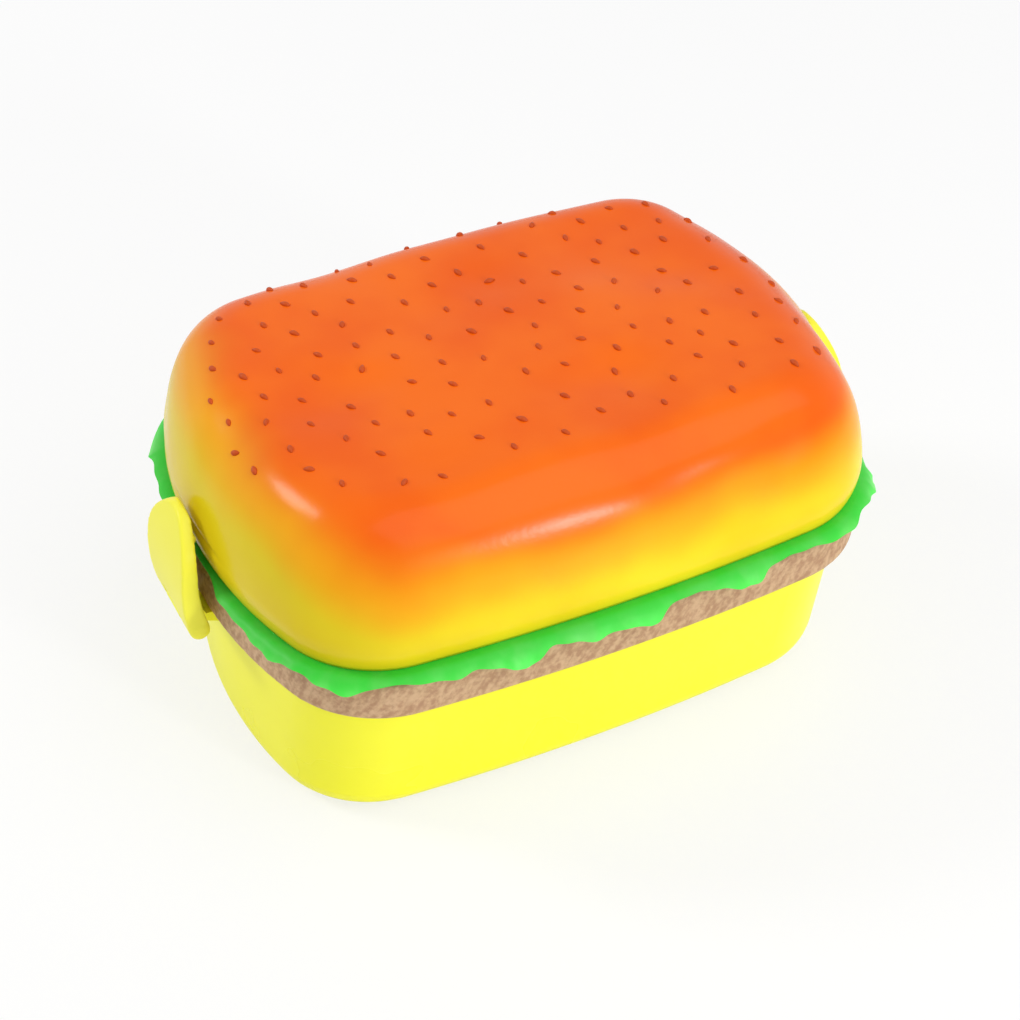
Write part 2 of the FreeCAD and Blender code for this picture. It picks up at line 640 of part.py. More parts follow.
def make_lettuce_plate():
    """The sealing plate over the tray. Its rim is a wavy leaf that hangs over the patty band."""
    body = new_body("leaf_plate")
    low = f"({PLATE_TOP} - frill_drop)"
    loft(body, "plate",
         [(PLATE_TOP, rim_outline(frill_inset(PLATE_TOP))), (low, rim_outline(frill_inset(low)))],
         ruled=True)
    loft(body, "under_frill",
         [(TRAY_TOP, rim_outline(f"{frill_inset(TRAY_TOP)} + frill_thickness")),
          (low, rim_outline(f"{frill_inset(low)} + frill_thickness"))],
         cut=True, ruled=True)
    plug = f"({BOX_RIM_INSET} + {BOWL_INSET} + tray_wall + rib_clearance)"
    ring(body, "plug_rib", TRAY_TOP, rim_outline(plug), rim_outline(f"{plug} + locating_rib"), "plug_depth",
         backwards=True)
    collar = "(bun_tuck + bun_wall + rib_clearance)"
    ring(body, "collar_rib", PLATE_TOP, rim_outline(collar), rim_outline(f"{collar} + locating_rib"),
         "collar_height")
    outside, within = seal_outlines(PLATE_SEAL_MIDDLE, "groove_clearance")
    ring(body, "plate_groove", TRAY_TOP, outside, within, "seal_sink", cut=True,
         backwards=True)
    for name in ("near_cradle", "far_cradle"):
        cradle = new_sketch(body, f"{name}_front", "YZ_Plane", f"{name}_place")
        slot = "(handle_width / 2 + cradle_clearance)"
        seat = f"({CUTLERY_TOP} - handle_thickness)"
        crest = f"({CUTLERY_TOP} + cradle_lip)"
        inner, outer = f"(cutlery_spread - {slot})", f"(cutlery_spread + {slot})"
        edge = f"({outer} + cradle_cheek)"
        right = [(edge, PLATE_TOP), (edge, crest), (outer, crest), (outer, seat), (inner, seat),
                 (inner, crest)]
        left = [(f"-{y}", z) for y, z in reversed(right)]
        add_polygon(cradle, right + left)
        extrude(body, name, cradle, "cradle_thickness", both_ways=True)
    half = "(clip_width / 2 + 2 * lug_side_clearance)"
    notch_size = (f"frill_reach + {PAST}", f"2 * {half}", f"2 * {PAST} + frill_drop")
    notches = [
        box_cutter("clip_notch", (x, f"-{half}", f"{low} - {PAST}"), notch_size)
        for x in ("bun_length / 2 - frill_start / 2",
                  f"-bun_length / 2 + frill_start / 2 - frill_reach - {PAST}")
    ]
    return combine("Cut", "lettuce_plate", body, gather("frill_cutters", [make_scallops(), *notches]))


def make_plate_seal():
    """A soft ring in the plate's groove that rests on the tray's flange."""
    body = new_body("plate_seal")
    ring(body, "plate_ring", TRAY_TOP, *seal_outlines(PLATE_SEAL_MIDDLE, "0"), "seal_sink")
    return body


# Bun and its seeds
def bun_inset(share):
    """How far the bun's face lies inside the outline at a share of its height."""
    shoulder = 1 - (1 - share ** SHOULDER_POWER) ** (1 / SHOULDER_POWER)
    tuck = max(0.0, 1 - share / TUCK_SHARE) ** 2
    return shoulder, tuck


def make_bun_lid():
    """A domed shell with a drawn-in rim, and a shallow catch groove at each end."""
    body = new_body("bun_lid")
    outside, inside = [], []
    for share in BUN_STEPS:
        shoulder, tuck = bun_inset(share)
        drawn_in = f"bun_shoulder * {shoulder:.6f} + bun_tuck * {tuck:.6f}"
        hollow = f"(bun_shoulder - bun_wall) * {shoulder:.6f} + bun_tuck * {tuck:.6f} + bun_wall"
        outside.append((f"{PLATE_TOP} + bun_height * {share}", rim_outline(drawn_in)))
        inside.append((f"{PLATE_TOP} + (bun_height - bun_wall) * {share}", rim_outline(hollow)))
    loft(body, "crust", outside)
    loft(body, "bun_hollow", inside, cut=True)
    groove = new_sketch(body, "catch_profile", "XZ_Plane")
    add_circle(groove, "bun_length / 2 + nib_gap", "nib_level", "groove_radius")
    catch = extrude(body, "catch_groove", groove, "clip_width", cut=True, both_ways=True)
    mirror_ends(body, "other_catch", [catch])
    return body


def seed_places():
    """Scattered points on the crown, none closer than the seeds' spacing, each with a heading."""
    scatter = random.Random(SEED_RANDOM)
    half_length, half_width = number("bun_length / 2 - seed_margin"), number("bun_width / 2 - seed_margin")
    found = []
    for attempt in range(SEED_TRIES):
        x, y = scatter.uniform(-half_length, half_length), scatter.uniform(-half_width, half_width)
        heading = scatter.gauss(number("seed_heading"), number("seed_heading_spread"))
        out = abs(x / half_length) ** 3 + abs(y / half_width) ** 3
        thinner_in_front = scatter.random() < 1.15 + 1.6 * min(0.0, y / half_width + 0.1)
        apart = all(math.hypot(x - a, y - b) > number("seed_spacing") for a, b, turn in found)
        if out < 1 and thinner_in_front and apart:
            found.append((x, y, heading))
    return found


def make_sesame_seeds(bun):
    """Raised oval seeds that lie on the crust, each trimmed to it."""
    up = FreeCAD.Vector(0, 0, 1)
    features = [part for part in bun.Group if part.isDerivedFrom("PartDesign::Feature")]
    crust = next(part for part in features if part.Name.startswith("crust")).Shape
    seeds = []
    for x, y, heading in seed_places():
        above = FreeCAD.Vector(x, y, number(f"{BUN_TOP} + {PAST}"))
        ray = Part.makeLine(FreeCAD.Vector(x, y, number(PLATE_TOP)), above)
        place = max((vertex.Point for vertex in crust.common(ray).Vertexes), key=lambda point: point.z)
        face = min(crust.Faces, key=lambda f: f.distToShape(Part.Vertex(place))[0])
        normal = face.normalAt(*face.Surface.parameter(place))
        normal = normal if normal.z > 0 else -normal
        seed = doc.addObject("Part::Ellipsoid", "seed")
        bind(seed, "Radius1", "seed_height")
        bind(seed, "Radius2", "seed_length / 2")
        bind(seed, "Radius3", "seed_width / 2")
        turn = FreeCAD.Rotation(up, normal) * FreeCAD.Rotation(up, heading)
        seed.Placement = FreeCAD.Placement(place, turn)
        seeds.append(seed)
    return combine("Cut", "sesame_seeds", gather("whole_seeds", seeds), bun)


# Cutlery
def make_spoon():
    """A flat handle and an oval bowl."""
    body = new_body("spoon_handle")
    bowl_middle = "(-handle_end + spoon_bowl_length / 2)"
    handle = new_sketch(body, "handle_plan", "XY_Plane", f"{CUTLERY_TOP} - handle_thickness")
    near, far = f"(cutlery_spread - handle_width / 2)", f"(cutlery_spread + handle_width / 2)"
    start = f"({bowl_middle} + spoon_bowl_length * 0.44)"
    add_polygon(handle, [(start, near), ("handle_end", near), ("handle_end", far), (start, far)])
    extrude(body, "handle", handle, "handle_thickness")
    base = body.Tip
    ends = [
        f"Edge{i}" for i, edge in enumerate(base.Shape.Edges, start=1)
        if edge.BoundBox.XMin > number("handle_end") - 1e-4
        and edge.BoundBox.ZLength > number("handle_thickness") / 2
    ]
    feature = body.newObject("PartDesign::Fillet", "handle_tip")
    feature.Base = (base, ends)
    bind(feature, "Radius", "handle_width * 0.48")
    bowls = []
    for name, shrink in (("bowl_outside", "0"), ("bowl_inside", "spoon_wall")):
        bowl = doc.addObject("Part::Ellipsoid", name)
        bind(bowl, "Radius1", f"spoon_bowl_depth - ({shrink})")
        bind(bowl, "Radius2", f"spoon_bowl_length / 2 - ({shrink})")
        bind(bowl, "Radius3", f"spoon_bowl_width / 2 - ({shrink})")
        bind(bowl, "Placement.Base.x", bowl_middle)
        bind(bowl, "Placement.Base.y", "cutlery_spread")
        bind(bowl, "Placement.Base.z", CUTLERY_TOP)
        bowls.append(bowl)
    lid = box_cutter("above_bowl",
                     (f"{bowl_middle} - spoon_bowl_length", "cutlery_spread - spoon_bowl_width", CUTLERY_TOP),
                     ("2 * spoon_bowl_length", "2 * spoon_bowl_width", f"spoon_bowl_depth + {PAST}"))
    cup = combine("Cut", "cup", combine("Cut", "open_cup", bowls[0], lid), bowls[1])
    return combine("Fuse", "spoon", combine("Cut", "handle_stub", body, bowls[1]), cup)


def make_fork():
    """A plan with four tines, met by a side view whose head dips and rises."""
    plan = new_body("fork_plan")
    outline = new_sketch(plan, "fork_outline", "XY_Plane", f"{CUTLERY_TOP} - fork_dip - {PAST}")
    tip, neck = "(-handle_end)", "(-handle_end + fork_head_length)"
    root = "(-handle_end + tine_length)"
    head, grip = "(fork_head_width / 2)", "(handle_width / 2)"
    tine = "((fork_head_width - 3 * tine_gap) / 4)"
    outer_tine, inner_tine, middle_gap = f"({head} - {tine})", f"(tine_gap / 2 + {tine})", "(tine_gap / 2)"
    right = [("handle_end", grip), (neck, grip), (f"({root} + tine_gap)", head), (tip, head),
             (tip, outer_tine), (root, outer_tine), (root, inner_tine), (tip, inner_tine),
             (tip, middle_gap), (root, middle_gap)]
    left = [(x, f"-{y}") for x, y in reversed(right)]
    add_polygon(outline, [(x, f"-cutlery_spread + {y}") for x, y in right + left])
    extrude(plan, "fork_blank", outline, f"fork_dip + handle_thickness + 2 * {PAST}")
    view = new_body("fork_view")
    side = new_sketch(view, "fork_side", "XZ_Plane", "cutlery_spread")
    dip_place = "(-handle_end + fork_head_length * 0.55)"
    top, low = CUTLERY_TOP, f"({CUTLERY_TOP} - handle_thickness)"
    add_polygon(side, [(tip, top), (tip, low), (dip_place, f"({low} - fork_dip)"), (neck, low),
                       ("handle_end", low), ("handle_end", top), (neck, top),
                       (dip_place, f"({top} - fork_dip)")])
    extrude(view, "fork_strip", side, "fork_head_width", both_ways=True)
    return combine("Common", "fork", plan, view)


def check(parts):
    """Stops if anything in the document failed, or a part is empty or not valid."""
    bad = {"Invalid", "Error"}
    failed = [f"{thing.Label} {thing.State}" for thing in doc.Objects if bad & set(thing.State)]
    empty = [part.Label for part in parts
             if part.Shape.isNull() or not part.Shape.isValid() or not part.Shape.Solids]
    if failed or empty:
        raise RuntimeError(f"failed: {failed}, empty or not valid: {empty}")


def main():
    bun = make_bun_lid()
    parts = [
        make_lower_box(),
        make_hinge_pin("left_hinge_pin", -1),
        make_hinge_pin("right_hinge_pin", 1),
        make_clip("left_clip", -1),
        make_clip("right_clip", 1),
        make_box_divider(),
        make_patty_tray(),
        make_tray_seal(),
        make_lettuce_plate(),
        make_plate_seal(),
        bun,
        make_sesame_seeds(bun),
        make_spoon(),
        make_fork(),
    ]
    doc.recompute()
    check(parts)
    os.makedirs("parts", exist_ok=True)
    for part in parts:
        part.Shape.exportStep(f"parts/{part.Label}.step")
        box = part.Shape.BoundBox
        print(f"{part.Label}: {len(part.Shape.Solids)} solids, {part.Shape.Volume / 1000:.2f} cm3, "
              f"x {box.XMin:.1f} to {box.XMax:.1f}, y {box.YMin:.1f} to {box.YMax:.1f}, "
              f"z {box.ZMin:.1f} to {box.ZMax:.1f}")


main()
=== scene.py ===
# %% [markdown]
# # A burger-shaped lunch box
# The real object is a moulded plastic box in four storeys: a yellow tub, a brown tray band, a green sealing
# plate with a leafy edge, and a domed lid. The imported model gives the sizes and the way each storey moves.
# This lesson dresses that model: some solids keep their shape and get a better finish, others are replaced
# by a finer mesh in the same place.

# %% Load the frame
import math

import bmesh
import bpy
import numpy as np
from mathutils import Matrix, Vector, noise
from mathutils.bvhtree import BVHTree


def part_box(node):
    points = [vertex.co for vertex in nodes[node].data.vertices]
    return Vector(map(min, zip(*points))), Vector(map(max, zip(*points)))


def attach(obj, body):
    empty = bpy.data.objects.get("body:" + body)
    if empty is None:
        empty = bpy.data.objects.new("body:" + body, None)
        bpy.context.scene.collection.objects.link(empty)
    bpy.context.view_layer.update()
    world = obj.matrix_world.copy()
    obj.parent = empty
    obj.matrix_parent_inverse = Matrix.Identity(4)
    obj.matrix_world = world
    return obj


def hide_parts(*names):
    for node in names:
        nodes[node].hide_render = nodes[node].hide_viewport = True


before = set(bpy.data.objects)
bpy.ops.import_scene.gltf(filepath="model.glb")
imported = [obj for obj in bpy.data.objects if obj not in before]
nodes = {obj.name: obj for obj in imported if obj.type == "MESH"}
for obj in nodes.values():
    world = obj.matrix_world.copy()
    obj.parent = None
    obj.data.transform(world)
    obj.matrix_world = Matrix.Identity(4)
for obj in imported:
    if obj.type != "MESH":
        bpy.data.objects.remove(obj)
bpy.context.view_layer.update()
MM = 0.001

# Points of a mesh that lie closer than this, in metres, are one point.
SAME_POINT = 1e-6
print("nodes:", sorted(nodes))

# %% [markdown]
# ## Camera
# The photo looks down on a corner of the box. A long lens keeps the far end nearly as large as the near end.
# The camera could be placed by raw coordinates, but its turn and height about a point inside the box are
# easier to adjust.

# %% Set the camera
VIEW_TURN = math.radians(-26.44)
VIEW_HEIGHT = math.radians(40.02)
VIEW_DISTANCE = 0.5625
VIEW_TARGET = Vector((-0.16, -0.58, 41.26)) * MM
VIEW_LENS = 77.38
SENSOR_WIDTH = 36.0

camera_data = bpy.data.cameras.new("camera")
camera_data.lens = VIEW_LENS
camera_data.sensor_width = SENSOR_WIDTH
camera = bpy.data.objects.new("camera", camera_data)
toward_camera = Vector((
    math.sin(VIEW_TURN) * math.cos(VIEW_HEIGHT),
    -math.cos(VIEW_TURN) * math.cos(VIEW_HEIGHT),
    math.sin(VIEW_HEIGHT),
))
camera.location = VIEW_TARGET + toward_camera * VIEW_DISTANCE
camera.rotation_euler = toward_camera.to_track_quat("Z", "Y").to_euler()
bpy.context.scene.collection.objects.link(camera)
bpy.context.scene.camera = camera
print("camera at", [round(v, 3) for v in camera.location])

# %% [markdown]
# ## Light
# A catalogue photo has a white sweep and soft light. A large panel overhead lights the top. Two small ones,
# high behind the left end and low in front, put the highlights where the photo has them. A pale world fills
# the shadows, and for camera, glossy and transmission rays it is plain white. More lamps could whiten the
# background too, but they would bleach the colours.

# %% Build the studio
WORLD_FILL = 0.5
scene = bpy.context.scene
scene.view_settings.view_transform = "Standard"

world = bpy.data.worlds.new("studio")
scene.world = world
world.use_nodes = True
world_nodes, world_links = world.node_tree.nodes, world.node_tree.links
background = world_nodes["Background"]
background.inputs["Color"].default_value = (1.0, 1.0, 1.0, 1.0)
rays = world_nodes.new("ShaderNodeLightPath")
seen = world_nodes.new("ShaderNodeMath")
seen.operation = "MAXIMUM"
seen_through = world_nodes.new("ShaderNodeMath")
seen_through.operation = "MAXIMUM"
strength = world_nodes.new("ShaderNodeMapRange")
strength.inputs["To Min"].default_value = WORLD_FILL
strength.inputs["To Max"].default_value = 1.0
world_links.new(rays.outputs["Is Camera Ray"], seen.inputs[0])
world_links.new(rays.outputs["Is Glossy Ray"], seen.inputs[1])
world_links.new(seen.outputs[0], seen_through.inputs[0])
world_links.new(rays.outputs["Is Transmission Ray"], seen_through.inputs[1])
world_links.new(seen_through.outputs[0], strength.inputs["Value"])
world_links.new(strength.outputs["Result"], background.inputs["Strength"])


def add_panel(name, place, aim, size, power):
    """A square soft light that faces a point."""
    data = bpy.data.lights.new(name, "AREA")
    data.shape = "SQUARE"
    data.size = size
    data.energy = power
    panel = bpy.data.objects.new(name, data)
    panel.location = place
    panel.rotation_euler = (Vector(place) - Vector(aim)).to_track_quat("Z", "Y").to_euler()
    scene.collection.objects.link(panel)


PANEL_AIM = (0.0, 0.0, 0.05)
PANEL_POWER = 4.0
for panel_name, panel_place, panel_size in (
    ("panel_over", (0.3, -0.45, 0.95), 0.9),
    ("panel_left", (-0.76, 0.51, 0.75), 0.26),
    ("panel_front", (0.36, -1.05, 0.39), 0.13),
):
    add_panel(panel_name, panel_place, PANEL_AIM, panel_size, PANEL_POWER)
print("lamps:", [lamp.name for lamp in bpy.data.lights])

# %% [markdown]
# ## Shared finish: moulded plastic
# Nearly every piece is injection moulded. Its skin has a fine orange-peel ripple, and its gloss varies.
# Each material could hold its own copy of those nodes. A node group with named inputs is built once instead,
# and the smooth plastics place it with their own values.


# %% Node group for the moulded skin
def group_socket(group, name, direction, kind, default=None):
    socket = group.interface.new_socket(name=name, in_out=direction, socket_type=kind)
    if default is not None:
        socket.default_value = default


RIPPLE_DETAIL, CLOUD_SCALE, CLOUD_DETAIL = 2.0, 22.0, 3.0


def make_moulded_skin():
    """Ripple height and gloss change over the surface of moulded plastic."""
    group = bpy.data.node_groups.new("moulded_skin", "ShaderNodeTree")
    group_socket(group, "Ripple Scale", "INPUT", "NodeSocketFloat", 900.0)
    group_socket(group, "Roughness", "INPUT", "NodeSocketFloat", 0.3)
    group_socket(group, "Roughness Change", "INPUT", "NodeSocketFloat", 0.08)
    group_socket(group, "Height", "OUTPUT", "NodeSocketFloat")
    group_socket(group, "Roughness", "OUTPUT", "NodeSocketFloat")
    group_socket(group, "Cloud", "OUTPUT", "NodeSocketFloat")
    tree, links = group.nodes, group.links
    start, end = tree.new("NodeGroupInput"), tree.new("NodeGroupOutput")
    place = tree.new("ShaderNodeTexCoord")
    ripple = tree.new("ShaderNodeTexNoise")
    ripple.inputs["Detail"].default_value = RIPPLE_DETAIL
    cloud = tree.new("ShaderNodeTexNoise")
    cloud.inputs["Scale"].default_value = CLOUD_SCALE
    cloud.inputs["Detail"].default_value = CLOUD_DETAIL
    change = tree.new("ShaderNodeMath")
    change.operation = "MULTIPLY_ADD"
    links.new(place.outputs["Object"], ripple.inputs["Vector"])
    links.new(place.outputs["Object"], cloud.inputs["Vector"])
    links.new(start.outputs["Ripple Scale"], ripple.inputs["Scale"])
    links.new(cloud.outputs["Fac"], change.inputs[0])
    links.new(start.outputs["Roughness Change"], change.inputs[1])
    links.new(start.outputs["Roughness"], change.inputs[2])
    links.new(ripple.outputs["Fac"], end.inputs["Height"])
    links.new(change.outputs[0], end.inputs["Roughness"])
    links.new(cloud.outputs["Fac"], end.inputs["Cloud"])
    return group


moulded_skin = make_moulded_skin()
print("shared finish:", moulded_skin.name)


# %% Colours and a helper for materials
def srgb(red, green, blue):
    """A colour as a screen shows it, turned into the light values that shaders use."""
    def light(value):
        share = value / 255
        return share / 12.92 if share <= 0.04045 else ((share + 0.055) / 1.055) ** 2.4

    return (light(red), light(green), light(blue), 1.0)


class Finish:
    """A material with its Principled shader, and short ways to add and join nodes."""

    def __init__(self, name, roughness=0.3, specular=0.25):
        self.material = bpy.data.materials.new(name)
        self.material.use_nodes = True
        self.nodes, self.links = self.material.node_tree.nodes, self.material.node_tree.links
        self.shader = self.nodes["Principled BSDF"]
        self.shader.inputs["Roughness"].default_value = roughness
        self.shader.inputs["Specular IOR Level"].default_value = specular
        self.place = self.add("ShaderNodeTexCoord").outputs["Object"]

    def add(self, kind, **values):
        node = self.nodes.new(kind)
        for name, value in values.items():
            setattr(node, name, value)
        return node

    def join(self, output, socket):
        self.links.new(output, socket)

    def math(self, operation, first, second=None, third=None):
        node = self.add("ShaderNodeMath", operation=operation)
        for socket, value in zip(node.inputs, (first, second, third)):
            if isinstance(value, (int, float)):
                socket.default_value = value
            elif value is not None:
                self.join(value, socket)
        return node.outputs[0]

    def blend(self, share, first, second):
        """Mix of two colours, each a tuple or a socket."""
        node = self.add("ShaderNodeMix", data_type="RGBA")
        for socket, value in ((node.inputs[0], share), (node.inputs[6], first), (node.inputs[7], second)):
            if isinstance(value, (int, float, tuple)):
                socket.default_value = value
            else:
                self.join(value, socket)
        return node.outputs[2]

    def steps(self, value, low, high):
        """0 up to low, 1 from high on, smooth between. High may be the smaller of the two."""
        node = self.add("ShaderNodeMapRange", interpolation_type="SMOOTHSTEP")
        node.inputs["From Min"].default_value = low
        node.inputs["From Max"].default_value = high
        self.join(value, node.inputs["Value"])
        return node.outputs["Result"]

    def noise(self, scale, detail=3.0, stretch=None, turn=None):
        """Noise whose grains are stretched along each axis, and those axes may be turned."""
        node = self.add("ShaderNodeTexNoise")
        node.inputs["Scale"].default_value = scale
        node.inputs["Detail"].default_value = detail
        source = self.place
        if stretch or turn:
            mapping = self.add("ShaderNodeMapping", vector_type="TEXTURE")
            mapping.inputs["Scale"].default_value = stretch or (1.0, 1.0, 1.0)
            mapping.inputs["Rotation"].default_value = turn or (0.0, 0.0, 0.0)
            self.join(source, mapping.inputs["Vector"])
            source = mapping.outputs["Vector"]
        self.join(source, node.inputs["Vector"])
        return node.outputs["Fac"]

    def axes(self):
        node = self.add("ShaderNodeSeparateXYZ")
        self.join(self.place, node.inputs["Vector"])
        return node.outputs["X"], node.outputs["Y"], node.outputs["Z"]

    def skin(self, ripple_scale=900.0, ripple=0.04, roughness=0.3, change=0.08):
        """Places the moulded skin and joins it to roughness and bump."""
        node = self.add("ShaderNodeGroup")
        node.node_tree = moulded_skin
        node.inputs["Ripple Scale"].default_value = ripple_scale
        node.inputs["Roughness"].default_value = roughness
        node.inputs["Roughness Change"].default_value = change
        self.join(node.outputs["Roughness"], self.shader.inputs["Roughness"])
        self.bump(node.outputs["Height"], ripple)
        return node.outputs["Cloud"]

    def bump(self, height, strength, distance=0.0004):
        node = self.add("ShaderNodeBump")
        node.inputs["Strength"].default_value = strength
        node.inputs["Distance"].default_value = distance
        self.join(height, node.inputs["Height"])
        self.join(node.outputs["Normal"], self.shader.inputs["Normal"])

    def colour(self, value):
        self.join(value, self.shader.inputs["Base Color"])


# %% [markdown]
# ## Finishes
# Plain coloured plastic still varies: moulding flow leaves slightly deeper and paler areas, so each plastic
# mixes two near tones by a broad cloud. The bun is airbrushed: orange paint from above over yellow plastic.
# A painted image could show that too, but a rule by height needs no unwrapping and stays fine close up.

# %% Plain plastics
# Values of the cloud at which a plastic has its deep tone and its pale one.
PLASTIC_TONES = (0.15, 0.85)


def make_plastic(name, deep, pale, roughness):
    finish = Finish(name)
    cloud = finish.skin(roughness=roughness)
    finish.colour(finish.blend(finish.steps(cloud, *PLASTIC_TONES), deep, pale))
    return finish.material


box_yellow = make_plastic("box_yellow_plastic", srgb(252, 249, 36), srgb(255, 253, 48), 0.24)
clip_yellow = make_plastic("clip_yellow_plastic", srgb(249, 242, 56), srgb(254, 250, 84), 0.3)
divider_cream = make_plastic("divider_cream_plastic", srgb(240, 231, 190), srgb(250, 244, 214), 0.32)
cutlery_yellow = make_plastic("cutlery_yellow_plastic", srgb(243, 194, 44), srgb(250, 212, 70), 0.26)
seal_clear = make_plastic("seal_clear_plastic", srgb(222, 219, 208), srgb(238, 236, 228), 0.5)


def make_pin_steel():
    """Drawn rod: fine lines along its length."""
    finish = Finish("pin_drawn_steel", roughness=0.32)
    finish.shader.inputs["Metallic"].default_value = 1.0
    lines = finish.noise(scale=1500.0, detail=2.0, stretch=(1.0, 50.0, 1.0))
    finish.colour(finish.blend(lines, srgb(150, 152, 156), srgb(206, 208, 212)))
    finish.bump(lines, strength=0.1, distance=0.0001)
    return finish.material


pin_steel = make_pin_steel()


# %% Bun crust
CRUST_LOW, CRUST_RISE = 0.0584, 0.0367
LEFT_END, LEFT_LOWERS = (-0.03, -0.08), -0.3
RIGHT_END, RIGHT_LOWERS = (0.058, 0.084), -0.25
PAINT_RUN, PAINT_RUN_SPREAD, PAINT_RUN_LIFTS = (-0.06, -0.05, 0.074), (0.026, 0.006), 0.18
PAINT_DRIFT = 0.3
TO_AMBER, TO_ORANGE = (0.22, 0.56), (0.5, 0.8)
# The last value is the share of painted shade that darkens the yellow at the left end.
ORANGE_TONES, YELLOW_TONES, LEFT_PAINTED_SHADE = (0.35, 0.65), (0.3, 0.7), 0.5


def make_bun_crust():
    """Lemon yellow at the rim, amber above it and orange over the top.

    The yellow climbs higher at both ends, and the paint runs lower at the front left corner.
    Painted shade darkens the yellow at the left end.
    """
    finish = Finish("bun_crust", specular=0.14)
    x, _, z = finish.axes()
    cloud = finish.skin(ripple_scale=700.0, ripple=0.05, roughness=0.18, change=0.06)
    drift = finish.math("SUBTRACT", finish.noise(scale=24.0, detail=2.0), 0.5)
    rise = finish.math("DIVIDE", finish.math("SUBTRACT", z, CRUST_LOW), CRUST_RISE)
    left = finish.steps(x, *LEFT_END)
    right = finish.steps(x, *RIGHT_END)
    paint = finish.math("MULTIPLY_ADD", left, LEFT_LOWERS, rise)
    paint = finish.math("MULTIPLY_ADD", right, RIGHT_LOWERS, paint)
    paint = finish.math("MULTIPLY_ADD", drift, PAINT_DRIFT, paint)
    gap = finish.add("ShaderNodeVectorMath", operation="DISTANCE")
    gap.inputs[1].default_value = PAINT_RUN
    finish.join(finish.place, gap.inputs[0])
    near = finish.steps(gap.outputs["Value"], *PAINT_RUN_SPREAD)
    paint = finish.math("MULTIPLY_ADD", near, PAINT_RUN_LIFTS, paint)
    orange = finish.blend(finish.steps(cloud, *ORANGE_TONES), srgb(238, 94, 6), srgb(246, 110, 14))
    amber = finish.blend(finish.steps(cloud, *YELLOW_TONES), srgb(243, 158, 12), srgb(250, 176, 20))
    yellow = finish.blend(finish.steps(cloud, *YELLOW_TONES), srgb(240, 206, 22), srgb(251, 228, 34))
    # Painted shade: the yellow at the left end is mixed towards a darker olive yellow, by up to half.
    yellow = finish.blend(finish.math("MULTIPLY", left, LEFT_PAINTED_SHADE), yellow, srgb(206, 184, 20))
    low = finish.blend(finish.steps(paint, *TO_AMBER), yellow, amber)
    finish.colour(finish.blend(finish.steps(paint, *TO_ORANGE), low, orange))
    return finish.material


bun_crust = make_bun_crust()


# %% Seeds, leaf and patty
# Levels between which the leaf goes from painted shade at its root, under the crust, to painted highlight at
# its tip, and how much of the highlight there is.
LEAF_ROOT_LEVEL, LEAF_TIP_LEVEL = 0.0589, 0.0522
HIGHLIGHT_LEAST, HIGHLIGHT_MORE, VEIN_TONES = 0.2, 0.8, (0.35, 0.7)
GRAIN_SLANT = (math.radians(20), math.radians(32), 0.0)
CRUMB_SHARE, STREAK_SHARE, PATTY_TONES = 0.4, 0.6, (0.36, 0.64)


def make_seed_brown():
    finish = Finish("seed_painted_brown")
    cloud = finish.skin(ripple_scale=1400.0, roughness=0.42)
    grain = finish.noise(scale=700.0, detail=2.0)
    finish.colour(finish.blend(finish.math("MULTIPLY", grain, cloud), srgb(184, 66, 10), srgb(222, 98, 22)))
    return finish.material


def make_leaf_green():
    """Painted highlight where the leaf hangs outwards, painted shade in deep green against the crust."""
    finish = Finish("leaf_green")
    finish.skin(ripple_scale=600.0, ripple=0.05, roughness=0.42)
    z = finish.axes()[2]
    hang = finish.steps(z, LEAF_ROOT_LEVEL, LEAF_TIP_LEVEL)
    veins = finish.noise(scale=160.0, detail=3.0, stretch=(1.0, 1.0, 4.0))
    highlit_green = finish.blend(finish.steps(veins, *VEIN_TONES), srgb(92, 254, 96), srgb(134, 255, 128))
    # Painted light: the share of highlit green grows from root to tip, and the deep green at the root is
    # painted shade.
    share = finish.math("MULTIPLY_ADD", hang, HIGHLIGHT_MORE, HIGHLIGHT_LEAST)
    finish.colour(finish.blend(share, srgb(30, 182, 30), highlit_green))
    return finish.material


def make_patty_brown():
    """Minced grain: slanted streaks of light and dark."""
    finish = Finish("patty_minced_brown", roughness=0.62, specular=0.3)
    streak = finish.noise(scale=420.0, detail=4.0, stretch=(0.7, 0.7, 2.2), turn=GRAIN_SLANT)
    crumb = finish.noise(scale=900.0, detail=3.0)
    mix = finish.math("MULTIPLY_ADD", crumb, CRUMB_SHARE, finish.math("MULTIPLY", streak, STREAK_SHARE))
    finish.colour(finish.blend(finish.steps(mix, *PATTY_TONES), srgb(178, 137, 105), srgb(211, 175, 138)))
    finish.bump(mix, strength=0.5, distance=0.0006)
    return finish.material


seed_brown = make_seed_brown()
leaf_green = make_leaf_green()
patty_brown = make_patty_brown()
print("materials:", [m.name for m in bpy.data.materials])

# %% [markdown]
# ## The shared outline
# Bun, leaf and patty follow one rounded outline of tangent arcs. Scaling one ring would make the smaller
# storeys too, but their walls would come out uneven. So points are worked out with their outward directions,
# and a storey is such points moved inwards by an inset.

# %% Outline points
HALF_LENGTH, HALF_WIDTH = 84.0, 62.6
SIDE_BOW, END_BOW, CORNER = 600.0, 125.0, 29.0

# A point further along X than this lies at an end.
END_ZONE = 70.0

# How many points an end, a corner and a side have in a fine outline.
FINE_OUTLINE = (60, 60, 110)


